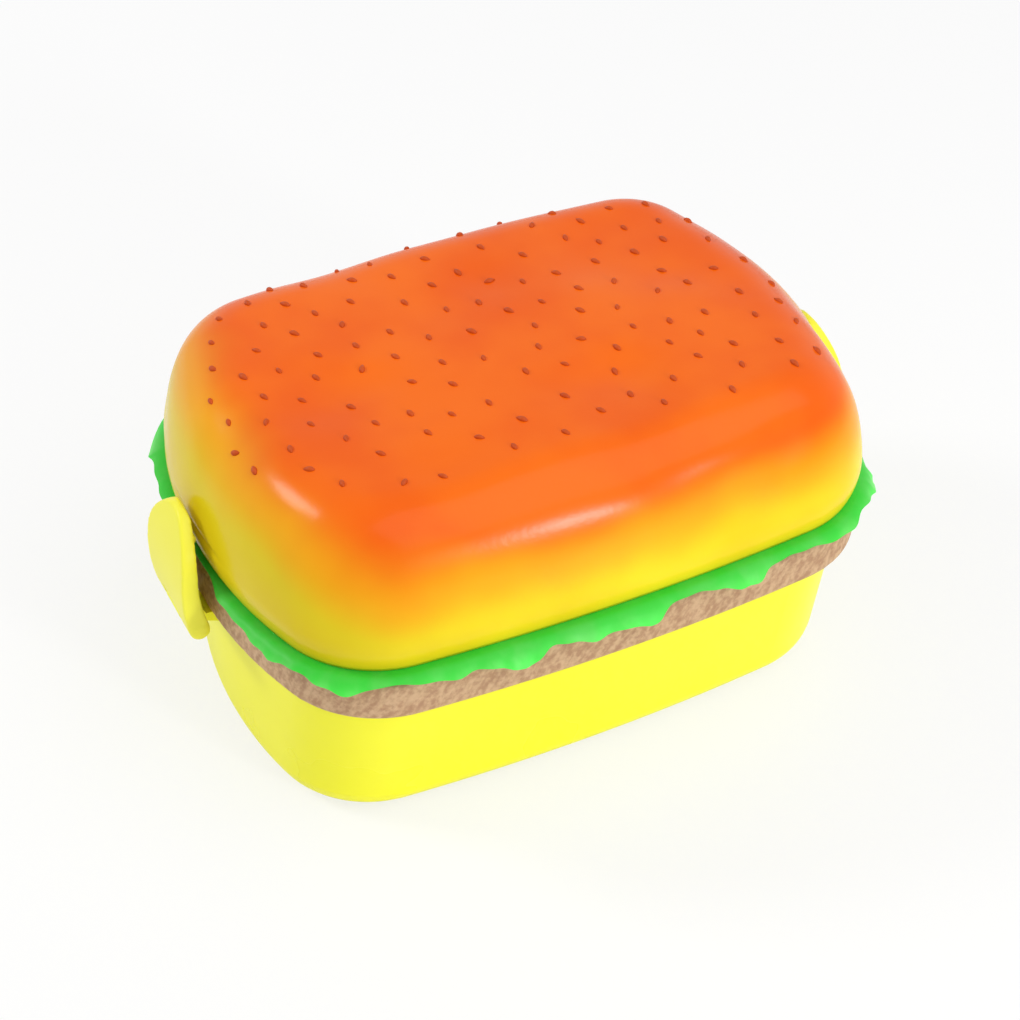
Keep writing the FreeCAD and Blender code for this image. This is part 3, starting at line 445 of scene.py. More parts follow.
def outline_points(per_end, per_corner, per_side):
    """Places, outward directions and running length along the outline, in millimetres, anticlockwise."""
    side_centre = np.array((0.0, HALF_WIDTH - SIDE_BOW))
    end_centre = np.array((HALF_LENGTH - END_BOW, 0.0))
    apart = end_centre - side_centre
    gap = np.linalg.norm(apart)
    along = (gap ** 2 + (SIDE_BOW - CORNER) ** 2 - (END_BOW - CORNER) ** 2) / (2 * gap)
    across = math.sqrt((SIDE_BOW - CORNER) ** 2 - along ** 2)
    unit = apart / gap
    corner_centre = side_centre + unit * along + np.array((unit[1], -unit[0])) * across
    turn_end = math.atan2(*(corner_centre - end_centre)[::-1])
    turn_side = math.atan2(*(corner_centre - side_centre)[::-1])
    places, outward = [], []

    def add_arc(centre, radius, start, stop, count):
        for turn in np.linspace(start, stop, count, endpoint=False):
            direction = np.array((math.cos(turn), math.sin(turn)))
            places.append(centre + radius * direction)
            outward.append(direction)

    for half in (0, 1):
        sign, base = 1 - 2 * half, math.pi * half
        flipped = corner_centre * (-1, 1)
        add_arc(end_centre * sign, END_BOW, base - turn_end, base + turn_end, per_end)
        add_arc(corner_centre * sign, CORNER, base + turn_end, base + turn_side, per_corner)
        add_arc(side_centre * sign, SIDE_BOW, base + turn_side, base + math.pi - turn_side, per_side)
        add_arc(flipped * sign, CORNER, base + math.pi - turn_side, base + math.pi - turn_end, per_corner)
    places, outward = np.array(places), np.array(outward)
    run = np.linalg.norm(np.roll(places, -1, axis=0) - places, axis=1)
    return places, outward, np.concatenate(([0.0], np.cumsum(run)))


print("outline:", round(outline_points(*FINE_OUTLINE)[2][-1], 1), "mm round")


# %% Meshes from rings
def ring_points(places, outward, inset, level):
    """One ring of 3-D points in millimetres. Inset and level may change along the ring."""
    inset = np.broadcast_to(inset, len(places))
    level = np.broadcast_to(level, len(places))
    flat = places - outward * inset[:, None]
    return np.column_stack((flat, level))


def mesh_from_rings(name, rings, closed_tube=False, cap_first=False, cap_last=False):
    """A mesh object, in metres, through rings with the same number of points."""
    count = len(rings[0])
    points = np.concatenate(rings) * MM
    faces = []
    pairs = list(zip(range(len(rings) - 1), range(1, len(rings))))
    if closed_tube:
        pairs.append((len(rings) - 1, 0))
    for low, high in pairs:
        for i in range(count):
            j = (i + 1) % count
            faces.append((low * count + i, low * count + j, high * count + j, high * count + i))
    if cap_first:
        faces.append(tuple(range(count))[::-1])
    if cap_last:
        faces.append(tuple((len(rings) - 1) * count + i for i in range(count)))
    mesh = bpy.data.meshes.new(name)
    mesh.from_pydata([tuple(p) for p in points], [], faces)
    tidy_mesh(mesh)
    piece = bpy.data.objects.new(name, mesh)
    scene.collection.objects.link(piece)
    return piece


def tidy_mesh(mesh):
    """Turns all faces outwards and shades them smooth."""
    work = bmesh.new()
    work.from_mesh(mesh)
    bmesh.ops.recalc_face_normals(work, faces=work.faces)
    work.to_mesh(mesh)
    work.free()
    mesh.shade_smooth()
    mesh.update()


# %% Dress a piece
def dress(piece, material, body, slot, *replaced):
    """Gives a piece its material and its body, and hides the imported parts it stands for. The slot is not
    used.
    """
    piece.data.materials.clear()
    piece.data.materials.append(material)
    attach(piece, body)
    if replaced:
        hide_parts(*replaced)
    print(piece.name, len(piece.data.polygons), "faces on", body)


# %% [markdown]
# ## The bun lid
# The lid is a thin domed shell. Its mould was sculpted like real bread, so the crust has soft dents.
# Sculpting by hand can't be repeated by a script. A shell from rings follows the same profile as the solid
# instead, and slow noise presses its outside in.

# %% Build the bun lid
PLATE_TOP = 58.4
BUN_HEIGHT, BUN_SHOULDER, BUN_TUCK, BUN_WALL = 36.7, 22.0, 2.0, 2.2
SHOULDER_POWER, TUCK_SHARE = 2.26, 0.25
CATCH_LEVEL, CATCH_HALF, CATCH_DEPTH = 67.5, 12.5, 0.5
CATCH_SOFT = 0.8
BUN_POINTS, BUN_RINGS, CROWN_RINGS, INNER_RINGS, INNER_CROWN_RINGS = (22, 22, 34), 30, 14, 14, 8
CROWN_MIDDLE = 0.04

# Dents start this far above the plate and grow to their full depth over the ramp.
DENT_FREE, DENT_RAMP = 3.0, 12.0
DENT_LIFT, DENT_EASE = 0.25, 3.0
BROAD_DENT, BROAD_SIZE, BROAD_SHIFT = 2.4, 34.0, Vector((3.1, 7.7, 1.3))
FINE_DENT, FINE_SIZE, FINE_SHIFT = 0.9, 17.0, Vector((9.2, 0.4, 5.1))


def bun_profile(share, shoulder, wall):
    bend = 1 - (1 - share ** SHOULDER_POWER) ** (1 / SHOULDER_POWER)
    return shoulder * bend + BUN_TUCK * max(0.0, 1 - share / TUCK_SHARE) ** 2 + wall


def crown_rings(places, outward, level, inset, steps):
    """Rings from the edge of the flat crown to a small one round its middle."""
    edge = ring_points(places, outward, inset, level)
    middle = np.array((0.0, 0.0, level))
    return [middle + (edge - middle) * share for share in np.linspace(1.0, CROWN_MIDDLE, steps)[1:]]


def swell(point):
    """Slow dents of the crust, in millimetres. They only go inwards, so the bun keeps its size."""
    place = Vector(point)
    broad = noise.noise(place / BROAD_SIZE + BROAD_SHIFT)
    fine = noise.noise(place / FINE_SIZE + FINE_SHIFT)
    height = DENT_LIFT + BROAD_DENT * broad + FINE_DENT * fine
    return -math.log(1 + math.exp(-DENT_EASE * height)) / DENT_EASE


def make_bun():
    places, outward = outline_points(*BUN_POINTS)[:2]
    # Rings lie closer together round the groove for the clip.
    low = [0.0, 0.03, 0.07, 0.11, 0.15, 0.19, 0.22, 0.235, 0.248, 0.261, 0.276, 0.3]
    turns = np.linspace(0.0, 1.0, BUN_RINGS)
    high = [low[-1] + (1 - low[-1]) * math.sin(turn * math.pi / 2) for turn in turns[1:]]
    outer = [ring_points(places, outward, bun_profile(s, BUN_SHOULDER, 0.0), PLATE_TOP + BUN_HEIGHT * s)
             for s in low + high]
    outer += crown_rings(places, outward, PLATE_TOP + BUN_HEIGHT, BUN_SHOULDER, CROWN_RINGS)
    shares = np.linspace(0.0, 1.0, INNER_RINGS)
    inner = [ring_points(places, outward, bun_profile(s, BUN_SHOULDER - BUN_WALL, BUN_WALL),
                         PLATE_TOP + (BUN_HEIGHT - BUN_WALL) * s)
             for s in np.sin(shares * math.pi / 2)]
    inner_top = PLATE_TOP + BUN_HEIGHT - BUN_WALL
    inner += crown_rings(places, outward, inner_top, BUN_SHOULDER, INNER_CROWN_RINGS)
    rings = inner[::-1] + outer
    bun = mesh_from_rings("bun_lid_crust", rings, cap_first=True, cap_last=True)
    first_outer = len(inner) * len(places)
    normals = [v.normal.copy() for v in bun.data.vertices]
    for vertex in list(bun.data.vertices)[first_outer:]:
        point = vertex.co / MM
        above = min(1.0, max(0.0, (point.z - PLATE_TOP - DENT_FREE) / DENT_RAMP))
        shift = swell(point) * above
        if abs(point.y) < CATCH_HALF and abs(point.x) > END_ZONE:
            shift -= CATCH_DEPTH * math.exp(-((point.z - CATCH_LEVEL) / CATCH_SOFT) ** 2)
        vertex.co += normals[vertex.index] * shift * MM
    bun.data.update()
    dress(bun, bun_crust, "bun_lid", "bun_orange", "bun_lid")
    return bun


bun_lid_crust = make_bun()

# %% [markdown]
# ## Sesame seeds
# The seeds are small raised drops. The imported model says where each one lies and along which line, so both
# are read from it. A copy could be set down for each seed in a loop. Geometry Nodes do that with named sizes
# instead: the drop is made once, and one is put on each point.


# %% Places of the seeds
def seed_places(node, crust):
    """A place on the crust, a way up and a heading for each separate seed solid, from left to right."""
    work = bmesh.new()
    work.from_mesh(node.data)
    bmesh.ops.remove_doubles(work, verts=work.verts, dist=SAME_POINT)
    surface = BVHTree.FromObject(crust, bpy.context.evaluated_depsgraph_get())
    left, found = set(work.verts), []
    while left:
        island, front = set(), [left.pop()]
        while front:
            vertex = front.pop()
            island.add(vertex)
            for edge in vertex.link_edges:
                other = edge.other_vert(vertex)
                if other in left:
                    left.discard(other)
                    front.append(other)
        # Sorted points and a fixed sign give the same heading in every run.
        points = np.array(sorted(tuple(v.co) for v in island))
        middle = points.mean(axis=0)
        long_way = np.linalg.svd(points - middle)[2][0]
        long_way *= math.copysign(1.0, long_way[0])
        place, up = surface.find_nearest(Vector(middle))[:2]
        found.append((place, up, Vector(long_way)))
    work.free()
    found.sort(key=lambda seed: (seed[0].x, seed[0].y))
    # Every other seed is turned round, so that their pointed ends don't all face one way.
    return [(place, up, long_way * (-1) ** k) for k, (place, up, long_way) in enumerate(found)]


def turn_to(up, long_way):
    """Euler angles that lay a seed's length along long_way with its back along up."""
    across = up.cross(long_way).normalized()
    along = across.cross(up).normalized()
    return Matrix((along, across, up)).transposed().to_euler()


# %% Drop shape
SEED_LENGTH, SEED_WIDTH, SEED_HEIGHT = 3.3 * MM, 1.6 * MM, 0.9 * MM
SEED_LEAST, SEED_MOST = 0.74, 0.98
SEED_ENDS, SEED_ROUND, SEED_WIDE, SEED_TAPER, SEED_FLAT = (0.06, 0.94), 0.7, 1.18, 0.36, -0.25


def make_drop():
    """A seed one unit long: rounder at one end, pointed at the other, flat underneath."""
    around, along = 10, 6
    turns = np.linspace(0, math.tau, around, endpoint=False)
    rings = []
    for share in np.linspace(*SEED_ENDS, along):
        wide = math.sin(share * math.pi) ** SEED_ROUND * (SEED_WIDE - SEED_TAPER * share)
        length = np.full(around, share - 0.5)
        ring = np.column_stack((length, 0.5 * wide * np.cos(turns), wide * np.sin(turns)))
        ring[:, 2] = np.maximum(ring[:, 2], SEED_FLAT)
        rings.append(ring / MM)
    drop = mesh_from_rings("seed_drop", rings, cap_first=True, cap_last=True)
    scene.collection.objects.unlink(drop)
    return drop


# %% Node tree for the seeds
def make_seed_tree(drop):
    tree = bpy.data.node_groups.new("seed_scatter", "GeometryNodeTree")
    group_socket(tree, "Geometry", "INPUT", "NodeSocketGeometry")
    for name, length in (("Length", SEED_LENGTH), ("Width", SEED_WIDTH), ("Height", SEED_HEIGHT)):
        group_socket(tree, name, "INPUT", "NodeSocketFloat", length)
    group_socket(tree, "Seed", "INPUT", "NodeSocketInt", 4)
    group_socket(tree, "Geometry", "OUTPUT", "NodeSocketGeometry")
    add, join = tree.nodes.new, tree.links.new
    start, end = add("NodeGroupInput"), add("NodeGroupOutput")
    to_points = add("GeometryNodeMeshToPoints")
    turn = add("GeometryNodeInputNamedAttribute")
    turn.data_type = "FLOAT_VECTOR"
    turn.inputs["Name"].default_value = "seed_turn"
    rotation = add("FunctionNodeEulerToRotation")
    size = add("ShaderNodeCombineXYZ")
    vary = add("FunctionNodeRandomValue")
    vary.inputs[2].default_value = SEED_LEAST
    vary.inputs[3].default_value = SEED_MOST
    scaled = add("ShaderNodeVectorMath")
    scaled.operation = "SCALE"
    shape = add("GeometryNodeObjectInfo")
    shape.inputs["Object"].default_value = drop
    place = add("GeometryNodeInstanceOnPoints")
    real = add("GeometryNodeRealizeInstances")
    paint = add("GeometryNodeSetMaterial")
    paint.inputs["Material"].default_value = seed_brown
    join(start.outputs["Geometry"], to_points.inputs["Mesh"])
    join(to_points.outputs["Points"], place.inputs["Points"])
    join(shape.outputs["Geometry"], place.inputs["Instance"])
    join(turn.outputs["Attribute"], rotation.inputs["Euler"])
    join(rotation.outputs["Rotation"], place.inputs["Rotation"])
    for name, axis in (("Length", "X"), ("Width", "Y"), ("Height", "Z")):
        join(start.outputs[name], size.inputs[axis])
    join(start.outputs["Seed"], vary.inputs["Seed"])
    join(size.outputs["Vector"], scaled.inputs[0])
    join(vary.outputs[1], scaled.inputs["Scale"])
    join(scaled.outputs["Vector"], place.inputs["Scale"])
    join(place.outputs["Instances"], real.inputs["Geometry"])
    join(real.outputs["Geometry"], paint.inputs["Geometry"])
    join(paint.outputs["Geometry"], end.inputs["Geometry"])
    return tree


# %% Scatter the seeds
def plain_mesh(piece):
    """Turns a piece with live modifiers into a plain mesh piece of the same name."""
    depsgraph = bpy.context.evaluated_depsgraph_get()
    mesh = bpy.data.meshes.new_from_object(piece.evaluated_get(depsgraph))
    piece.modifiers.clear()
    piece.data = mesh
    return piece


def make_seeds():
    seeds = seed_places(nodes["sesame_seeds"], bun_lid_crust)
    mesh = bpy.data.meshes.new("sesame_seeds_raised")
    mesh.from_pydata([tuple(seed[0]) for seed in seeds], [], [])
    turns = mesh.attributes.new("seed_turn", "FLOAT_VECTOR", "POINT")
    for item, (_, up, long_way) in zip(turns.data, seeds):
        item.vector = turn_to(up, long_way)
    piece = bpy.data.objects.new("sesame_seeds_raised", mesh)
    scene.collection.objects.link(piece)
    scatter = piece.modifiers.new("scatter", "NODES")
    scatter.node_group = make_seed_tree(make_drop())
    plain_mesh(piece)
    piece.data.shade_smooth()
    dress(piece, seed_brown, "bun_lid", "seed_brown", "sesame_seeds")
    print("seeds placed:", len(seeds))


make_seeds()

# %% [markdown]
# ## The leafy plate
# The green plate seals the tray, and its rim is moulded as a lettuce leaf. The rim leaves the plate as a thin
# lip, rolls over and hangs in uneven waves. A cloth simulation could make waves, but not in chosen places. So
# each point along the outline has its own drop and reach, and the section runs through plate, lip and leaf.

# %% Leaf along the rim
TRAY_TOP = 56.2
LEAF_THICK = 1.5
CLIP_CLEAR, CLIP_RAMP = 7.0, 12.0
LEAF_LEAST, LEAF_MOST = 0.12, 4.2
LEAF_SLOW, LEAF_STEEP = 9.0, 4.8

# Where the leaf hangs lowest, in millimetres along the rim, and how low. The front and the left end are
# listed one by one, and the back follows a loop.
LEAF_LOWS = [
    (250.0, 0.6), (335.0, 0.4), (355.0, 0.55), (379.0, 0.42), (396.0, 0.8),
    (414.0, 0.55), (428.0, 0.74), (456.0, 0.68), (486.0, 0.4), (507.0, 0.85),
]
BACK_LOWS, BACK_FIRST, BACK_STEP, BACK_DEPTH = 10, 20.0, 23.0, 0.55
BACK_STRAY, STRAY_TURN, BACK_DEEPER, DEEPER_TURN = 4.0, 2.3, 0.25, 1.7
for k in range(BACK_LOWS):
    stray, deeper = BACK_STRAY * math.sin(STRAY_TURN * k), BACK_DEEPER * math.sin(DEEPER_TURN * k)
    LEAF_LOWS.append((BACK_FIRST + BACK_STEP * k + stray, BACK_DEPTH + deeper))

# Millimetres where the leaf doesn't hang, how much more a full hang adds, and the value beside a clip.
DROP_LEAST, DROP_MORE, DROP_AT_CLIP = 0.4, 5.0, 0.6
REACH_LEAST, REACH_MORE, REACH_AT_CLIP = 0.9, 3.3, -0.5
FLARE_LEAST, FLARE_MORE = 0.3, 0.9

# The tip curls in more where the leaf hangs lower, pleats run along it, and the back left reaches further.
CURL_MORE, CURL_FROM = 0.6, 0.4
PLEAT_TURN, PLEAT_DRIFT, PLEAT_WANDER = 0.86, 0.11, 1.5
PLEAT_DEEP, PLEAT_LEAST = 0.45, 0.3
BACK_LEFT_PLACE, BACK_LEFT_WIDTH, BACK_LEFT_REACH = 232.0, 26.0, 2.6

# Insets of the rim, the lip above and below, and the flat plate, then the shape of underside and fall.
RIM_INSET, LIP_INSET, FOOT_INSET, PLATE_INSET = 0.4, 2.5, 3.0, 9.0
TIP_ROUND, TIP_THICK, ROOT_THICK, ROOT_SAG, UNDER_LIFT = 0.35, 0.55, 0.45, 0.35, 0.15
EVEN_FALL, ROUND_FALL, FLARE_POWER = 0.25, 0.75, 6
LEAF_STEPS, FILL_RINGS = 8, 8


def leaf_hang(run, total):
    """How far the leaf hangs at each place along the rim: slow down to each low, then a steep rise."""
    hang = np.full(len(run), LEAF_LEAST)
    for place, depth in LEAF_LOWS:
        away = (run - place + total / 2) % total - total / 2
        width = np.where(away < 0, LEAF_SLOW, LEAF_STEEP)
        hang += (depth - LEAF_LEAST) * np.exp(-(away / width) ** 2)
    return hang


def make_leaf():
    places, outward, run = outline_points(*FINE_OUTLINE)
    along = run[:-1]
    hang = leaf_hang(along, run[-1])
    away = np.clip((np.abs(places[:, 1]) - CLIP_CLEAR) / CLIP_RAMP, 0.0, 1.0)
    at_end = np.abs(places[:, 0]) > END_ZONE
    free = np.where(at_end, away * away * (3 - 2 * away), 1.0)
    back_left = np.exp(-((along - BACK_LEFT_PLACE) / BACK_LEFT_WIDTH) ** 2)
    drop = (DROP_LEAST + DROP_MORE * hang) * free + DROP_AT_CLIP * (1 - free)
    reach = REACH_LEAST + REACH_MORE * hang + BACK_LEFT_REACH * back_left
    reach = reach * free + REACH_AT_CLIP * (1 - free)
    flare = (FLARE_LEAST + FLARE_MORE * hang) * free
    pleat = np.sin(along * PLEAT_TURN + PLEAT_WANDER * np.sin(along * PLEAT_DRIFT))
    curl = (CURL_MORE * (hang - CURL_FROM) + PLEAT_DEEP * pleat * (PLEAT_LEAST + hang)) * free
    reach -= np.maximum(0.0, reach + flare - curl - LEAF_MOST)
    sections = []
    for share in np.linspace(0.0, 1.0, LEAF_STEPS + 1):
        bend = math.sin(share * math.pi / 2)
        fall = 1 - math.cos(share * math.pi / 2)
        inset = RIM_INSET - (RIM_INSET + reach) * bend + curl * fall - flare * share ** FLARE_POWER
        sections.append((inset, PLATE_TOP - drop * (EVEN_FALL * share + ROUND_FALL * fall)))
    under = []
    for k, (inset, level) in enumerate(sections):
        root = 1 - k / LEAF_STEPS
        thick = LEAF_THICK * (TIP_THICK + ROOT_THICK * root)
        under.append((inset + thick, level - LEAF_THICK * ROOT_SAG * root + UNDER_LIFT))
    tip_inset, tip_level = sections[-1]
    outer = [(PLATE_INSET, PLATE_TOP), (LIP_INSET, PLATE_TOP)] + sections
    back = [(tip_inset + TIP_ROUND, tip_level - TIP_ROUND)] + under[::-1][:-2]
    closing = [(FOOT_INSET, TRAY_TOP), (PLATE_INSET, TRAY_TOP)]
    rings = [ring_points(places, outward, *pair) for pair in outer + back + closing]
    top_fill = crown_rings(places, outward, PLATE_TOP, PLATE_INSET, FILL_RINGS)
    low_fill = crown_rings(places, outward, TRAY_TOP, PLATE_INSET, FILL_RINGS)
    rings = top_fill[::-1] + rings + low_fill
    return mesh_from_rings("leaf_and_plate", rings, cap_first=True, cap_last=True)


# %% Ribs and cradles
RIB_POINTS = (16, 18, 26)


def make_rib_ring(name, inset, thickness, low, high):
    places, outward = outline_points(*RIB_POINTS)[:2]
    corners = [(inset, low), (inset, high), (inset + thickness, high), (inset + thickness, low)]
    return mesh_from_rings(name, [ring_points(places, outward, i, z) for i, z in corners], closed_tube=True)


def make_cradle(name, place):
    """A rib across the plate with a seat for each handle, drawn as its front view and given a thickness."""
    spread, slot, seat, crest, cheek, half_thick = 18.0, 4.8, 63.8, 67.6, 4.0, 1.1
    inner, outer = spread - slot, spread + slot
    right = [
        (outer + cheek, PLATE_TOP), (outer + cheek, crest), (outer, crest),
        (outer, seat), (inner, seat), (inner, crest),
    ]
    front = right + [(-y, z) for y, z in reversed(right)]
    rings = [np.array([(place + side, y, z) for y, z in front]) for side in (-half_thick, half_thick)]
    return mesh_from_rings(name, rings, cap_first=True, cap_last=True)


def join_pieces(name, pieces):
    work = bmesh.new()
    for piece in pieces:
        work.from_mesh(piece.data)
        bpy.data.objects.remove(piece)
    mesh = bpy.data.meshes.new(name)
    work.to_mesh(mesh)
    work.free()
    joined = bpy.data.objects.new(name, mesh)
    scene.collection.objects.link(joined)
    return joined


def sharpen(piece, degrees):
    """Keeps flat faces flat: edges that turn more than this are shaded sharp."""
    piece.data.set_sharp_from_angle(angle=math.radians(degrees))


# %% Join the leafy plate
RIB_THICK = 1.6
COLLAR_INSET, COLLAR_HEIGHT = 4.7, 3.0
PLUG_INSET, PLUG_DEPTH = 9.7, 4.0
NEAR_CRADLE, FAR_CRADLE = -14.0, 44.0
SHARP_TURN = 50
leaf = make_leaf()
ribs = [
    make_rib_ring("collar_rib", COLLAR_INSET, RIB_THICK, PLATE_TOP, PLATE_TOP + COLLAR_HEIGHT),
    make_rib_ring("plug_rib", PLUG_INSET, RIB_THICK, TRAY_TOP - PLUG_DEPTH, TRAY_TOP),
    make_cradle("near_cradle", NEAR_CRADLE),
    make_cradle("far_cradle", FAR_CRADLE),
]
lettuce_leaf_plate = join_pieces("lettuce_leaf_plate", [leaf] + ribs)
sharpen(lettuce_leaf_plate, SHARP_TURN)
dress(lettuce_leaf_plate, leaf_green, "lettuce_plate", "lettuce_green", "lettuce_plate")

# %% [markdown]
# ## The patty band
# The band of the tray is moulded with a minced-meat grain. A bump in the material would leave the edge
# straight, and the real grain breaks it up. So a thin skin lies over the plain band, and Geometry Nodes push
# its points out by two noises that are drawn out along a slant. The material adds the finest crumbs.

# %% Node tree for the grain
GRAIN_ALONG, GRAIN_ACROSS = (0.5, -0.5, 0.87), (0.87, -0.87, -0.5)
LAYERS_APART = 4.0
GRAIN_SIZES = {
    "Lift": 0.10 * MM,
    "Coarse Length": 5.0 * MM,
    "Coarse Width": 1.9 * MM,
    "Coarse Height": 0.16 * MM,
    "Fine Length": 2.4 * MM,
    "Fine Width": 1.0 * MM,
    "Fine Height": 0.10 * MM,
}


def make_grain_tree():
    """Moves each point along its own grain_way by a coarse and a fine noise."""
    tree = bpy.data.node_groups.new("minced_grain", "GeometryNodeTree")
    group_socket(tree, "Geometry", "INPUT", "NodeSocketGeometry")
    for name, size in GRAIN_SIZES.items():
        group_socket(tree, name, "INPUT", "NodeSocketFloat", size)
    group_socket(tree, "Geometry", "OUTPUT", "NodeSocketGeometry")
    add, join = tree.nodes.new, tree.links.new
    start, end = add("NodeGroupInput"), add("NodeGroupOutput")
    here = add("GeometryNodeInputPosition")

    def measure(direction, size):
        """How far along a direction a point lies, in grains."""
        run = add("ShaderNodeVectorMath")
        run.operation = "DOT_PRODUCT"
        run.inputs[1].default_value = direction
        join(here.outputs["Position"], run.inputs[0])
        grains = add("ShaderNodeMath")
        grains.operation = "DIVIDE"
        join(run.outputs["Value"], grains.inputs[0])
        join(start.outputs[size], grains.inputs[1])
        return grains.outputs[0]

    height = start.outputs["Lift"]
    for layer, kind in enumerate(("Coarse", "Fine")):
        place = add("ShaderNodeCombineXYZ")
        place.inputs["Z"].default_value = LAYERS_APART * layer
        join(measure(GRAIN_ALONG, kind + " Length"), place.inputs["X"])
        join(measure(GRAIN_ACROSS, kind + " Width"), place.inputs["Y"])
        crumbs = add("ShaderNodeTexNoise")
        crumbs.normalize = False
        crumbs.inputs["Scale"].default_value = 1.0
        crumbs.inputs["Detail"].default_value = 0.0
        join(place.outputs["Vector"], crumbs.inputs["Vector"])
        total = add("ShaderNodeMath")
        total.operation = "MULTIPLY_ADD"
        join(crumbs.outputs["Fac"], total.inputs[0])
        join(start.outputs[kind + " Height"], total.inputs[1])
        join(height, total.inputs[2])
        height = total.outputs[0]

    way = add("GeometryNodeInputNamedAttribute")
    way.data_type = "FLOAT_VECTOR"
    way.inputs["Name"].default_value = "grain_way"
    push = add("ShaderNodeVectorMath")
    push.operation = "SCALE"
    move = add("GeometryNodeSetPosition")
    real = add("GeometryNodeRealizeInstances")
    paint = add("GeometryNodeSetMaterial")
    paint.inputs["Material"].default_value = patty_brown
    join(way.outputs["Attribute"], push.inputs[0])
    join(height, push.inputs["Scale"])
    join(start.outputs["Geometry"], move.inputs["Geometry"])
    join(push.outputs["Vector"], move.inputs["Offset"])
    join(move.outputs["Geometry"], real.inputs["Geometry"])
    join(real.outputs["Geometry"], paint.inputs["Geometry"])
    join(paint.outputs["Geometry"], end.inputs["Geometry"])
    return tree


# %% Build the patty skin
PATTY_LOW, PATTY_HIGH, PATTY_INSET = 43.7, 56.2, 0.8
LOW_ROUND, HIGH_ROUND = 1.4, 3.0
SKIN_PROUD, SKIN_DEEP = 0.06, 1.6
SKIN_FROM, SKIN_SHORT = 0.35, 2.2
SKIN_POINTS, SKIN_RINGS = (120, 110, 190), 17

# The grain fades out over an eighth of the height at both edges.
GRAIN_FADE = 8


def make_patty_skin():
    places, outward = outline_points(*SKIN_POINTS)[:2]
    rings, ways = [], []
    for share in np.linspace(0.0, 1.0, SKIN_RINGS):
        level = PATTY_LOW + SKIN_FROM + (PATTY_HIGH - PATTY_LOW - SKIN_SHORT) * share
        low_part = max(0.0, LOW_ROUND - (level - PATTY_LOW))
        high_part = max(0.0, HIGH_ROUND - (PATTY_HIGH - level))
        inset = PATTY_INSET - SKIN_PROUD
        inset += LOW_ROUND - math.sqrt(max(0.0, LOW_ROUND ** 2 - low_part ** 2))
        inset += HIGH_ROUND - math.sqrt(max(0.0, HIGH_ROUND ** 2 - high_part ** 2))
        rings.append(ring_points(places, outward, inset, level))
        ways.append(outward * min(1.0, share * GRAIN_FADE, (1 - share) * GRAIN_FADE))
    for level in (rings[-1][0, 2], rings[0][0, 2]):
        rings.append(ring_points(places, outward, PATTY_INSET + SKIN_DEEP, level))
        ways.append(outward * 0.0)
    skin = mesh_from_rings("patty_band_skin", rings, closed_tube=True)
    flat_ways = np.concatenate(ways)
    grain_way = skin.data.attributes.new("grain_way", "FLOAT_VECTOR", "POINT")
    grain_way.data.foreach_set("vector", np.column_stack((flat_ways, np.zeros(len(flat_ways)))).ravel())
    grain = skin.modifiers.new("grain", "NODES")
    grain.node_group = make_grain_tree()
    plain_mesh(skin)
    skin.data.shade_smooth()
    return skin


patty_band_skin = make_patty_skin()
dress(patty_band_skin, patty_brown, "patty_tray", "patty_brown")

# %% [markdown]
# ## The clips and the cutlery
# Moulded plastic has no sharp edges, and the photo shows the clip as a soft lozenge. A bevel stops at the
# many short edges of the bowed faces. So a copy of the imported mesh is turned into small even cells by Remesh,
# and Smooth then rounds whatever sticks out. A shallow boss covers the end of the pin on each side. The top
# of each clip is drawn in and leans out a little. The spoon and fork are rounded in the same way, but less.

# %% Round the edges of clips and cutlery
SOFT_CELL = 0.4 * MM
CLIP_SMOOTHING, CUTLERY_SMOOTHING, SMOOTH_FACTOR = 14, 6, 0.5
CLIP_BEND_FROM, CLIP_BEND_OVER = 57.0, 18.0
CLIP_NARROW, CLIP_LEAN = 0.22, 0.5
BOSS_RADIUS, BOSS_THICK, BOSS_PROUD, BOSS_SIDES = 1.9 * MM, 1.6 * MM, 0.5 * MM, 24


def add_boss(work, pin_box, side):
    """A short round plug over one end of the hinge pin."""
    low, high = pin_box
    end = high.y if side > 0 else low.y
    middle = Vector(((low.x + high.x) / 2, end + side * (BOSS_PROUD - BOSS_THICK / 2), (low.z + high.z) / 2))
    turn = Matrix.Rotation(math.pi / 2, 4, "X")
    bmesh.ops.create_cone(work, cap_ends=True, segments=BOSS_SIDES, radius1=BOSS_RADIUS, radius2=BOSS_RADIUS,
                          depth=BOSS_THICK, matrix=Matrix.Translation(middle) @ turn)


def soft_copy(node_name, rounds, add_more=None):
    """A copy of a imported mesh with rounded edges. add_more may add shapes to it first."""
    name = node_name + "_soft"
    mesh = bpy.data.meshes.new(name)
    work = bmesh.new()
    work.from_mesh(nodes[node_name].data)
    bmesh.ops.remove_doubles(work, verts=work.verts, dist=SAME_POINT)
    if add_more:
        add_more(work)
    work.to_mesh(mesh)
    work.free()
    piece = bpy.data.objects.new(name, mesh)
    scene.collection.objects.link(piece)
    cells = piece.modifiers.new("even_cells", "REMESH")
    cells.mode = "VOXEL"
    cells.voxel_size = SOFT_CELL
    smooth = piece.modifiers.new("soft_edges", "SMOOTH")
    smooth.factor = SMOOTH_FACTOR
    smooth.iterations = rounds
    plain_mesh(piece)
    piece.data.shade_smooth()
    return piece


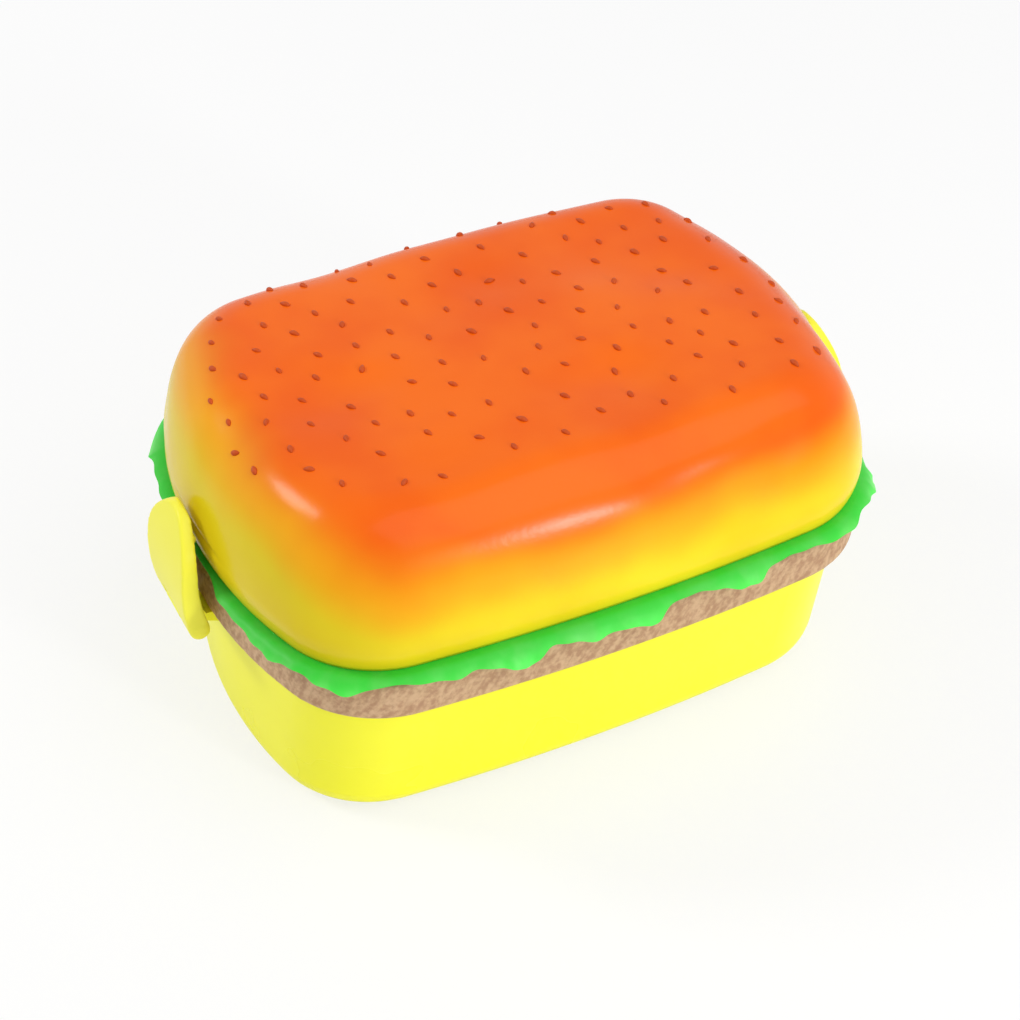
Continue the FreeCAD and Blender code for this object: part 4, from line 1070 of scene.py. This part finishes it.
# %% Make the clips and the cutlery
def make_soft_clip(side):
    pin_box = [Vector(corner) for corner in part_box(side + "_hinge_pin")]

    def add_bosses(work):
        for end in (-1, 1):
            add_boss(work, pin_box, end)

    clip = soft_copy(side + "_clip", CLIP_SMOOTHING, add_bosses)
    outward = -1 if side == "left" else 1
    for vertex in clip.data.vertices:
        up = min(1.0, max(0.0, (vertex.co.z / MM - CLIP_BEND_FROM) / CLIP_BEND_OVER)) ** 2
        vertex.co.y *= 1 - CLIP_NARROW * up
        vertex.co.x += outward * CLIP_LEAN * up * MM
    dress(clip, clip_yellow, side + "_clip", "clip_yellow", side + "_clip")


def make_soft_cutlery(tool):
    piece = soft_copy(tool, CUTLERY_SMOOTHING)
    dress(piece, cutlery_yellow, tool, "cutlery_yellow", tool)


for clip_side in ("left", "right"):
    make_soft_clip(clip_side)
for tool_name in ("spoon", "fork"):
    make_soft_cutlery(tool_name)

# %% [markdown]
# ## Solids that keep their shape
# The tub, pins, divider, tray and seals are already right. Modelling them again would gain nothing, so they
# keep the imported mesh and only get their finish.

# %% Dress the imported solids
KEPT = {
    "lower_box": box_yellow,
    "left_hinge_pin": pin_steel,
    "right_hinge_pin": pin_steel,
    "box_divider": divider_cream,
    "patty_tray": patty_brown,
    "tray_seal": seal_clear,
    "plate_seal": seal_clear,
}
for node_name, material in KEPT.items():
    materials = nodes[node_name].data.materials
    materials.clear()
    materials.append(material)
print("kept solids:", len(KEPT))

# %% [markdown]
# ## Floor
# The floor is a wide pale sheet under the box. It is stage, not part of the object. A plain white material
# would look grey in soft light. So for the camera the floor is mostly plain white, and wholly so far away,
# as in a catalogue photo. Near the box it still takes the soft shadow and the yellow light of the tub.


# %% Build the floor
FLOOR_WHITE = 0.72
FLOOR_NEAR, FLOOR_FAR = 0.2, 1.6
FLOOR_SIZE, FLOOR_BELOW = 12.0, 0.0002


def make_floor():
    finish = Finish("floor_white", roughness=0.35, specular=0.35)
    mottle = finish.noise(scale=3.0, detail=2.0)
    finish.colour(finish.blend(mottle, (0.93, 0.93, 0.93, 1.0), (0.96, 0.96, 0.96, 1.0)))
    rays = finish.add("ShaderNodeLightPath").outputs["Is Camera Ray"]
    glow = finish.add("ShaderNodeEmission")
    glow.inputs["Color"].default_value = (1.0, 1.0, 1.0, 1.0)
    mix = finish.add("ShaderNodeMixShader")
    x, y, _ = finish.axes()
    square = finish.math("ADD", finish.math("MULTIPLY", x, x), finish.math("MULTIPLY", y, y))
    far = finish.steps(finish.math("SQRT", square), FLOOR_NEAR, FLOOR_FAR)
    white = finish.math("MULTIPLY_ADD", far, 1 - FLOOR_WHITE, FLOOR_WHITE)
    finish.join(finish.math("MULTIPLY", rays, white), mix.inputs[0])
    finish.join(finish.shader.outputs[0], mix.inputs[1])
    finish.join(glow.outputs[0], mix.inputs[2])
    finish.join(mix.outputs[0], finish.nodes["Material Output"].inputs["Surface"])
    bpy.ops.mesh.primitive_plane_add(size=FLOOR_SIZE, location=(0.0, 0.0, -FLOOR_BELOW))
    floor = bpy.context.object
    floor.name = "floor"
    floor.data.materials.append(finish.material)
    print("floor:", FLOOR_SIZE, "m wide")


make_floor()
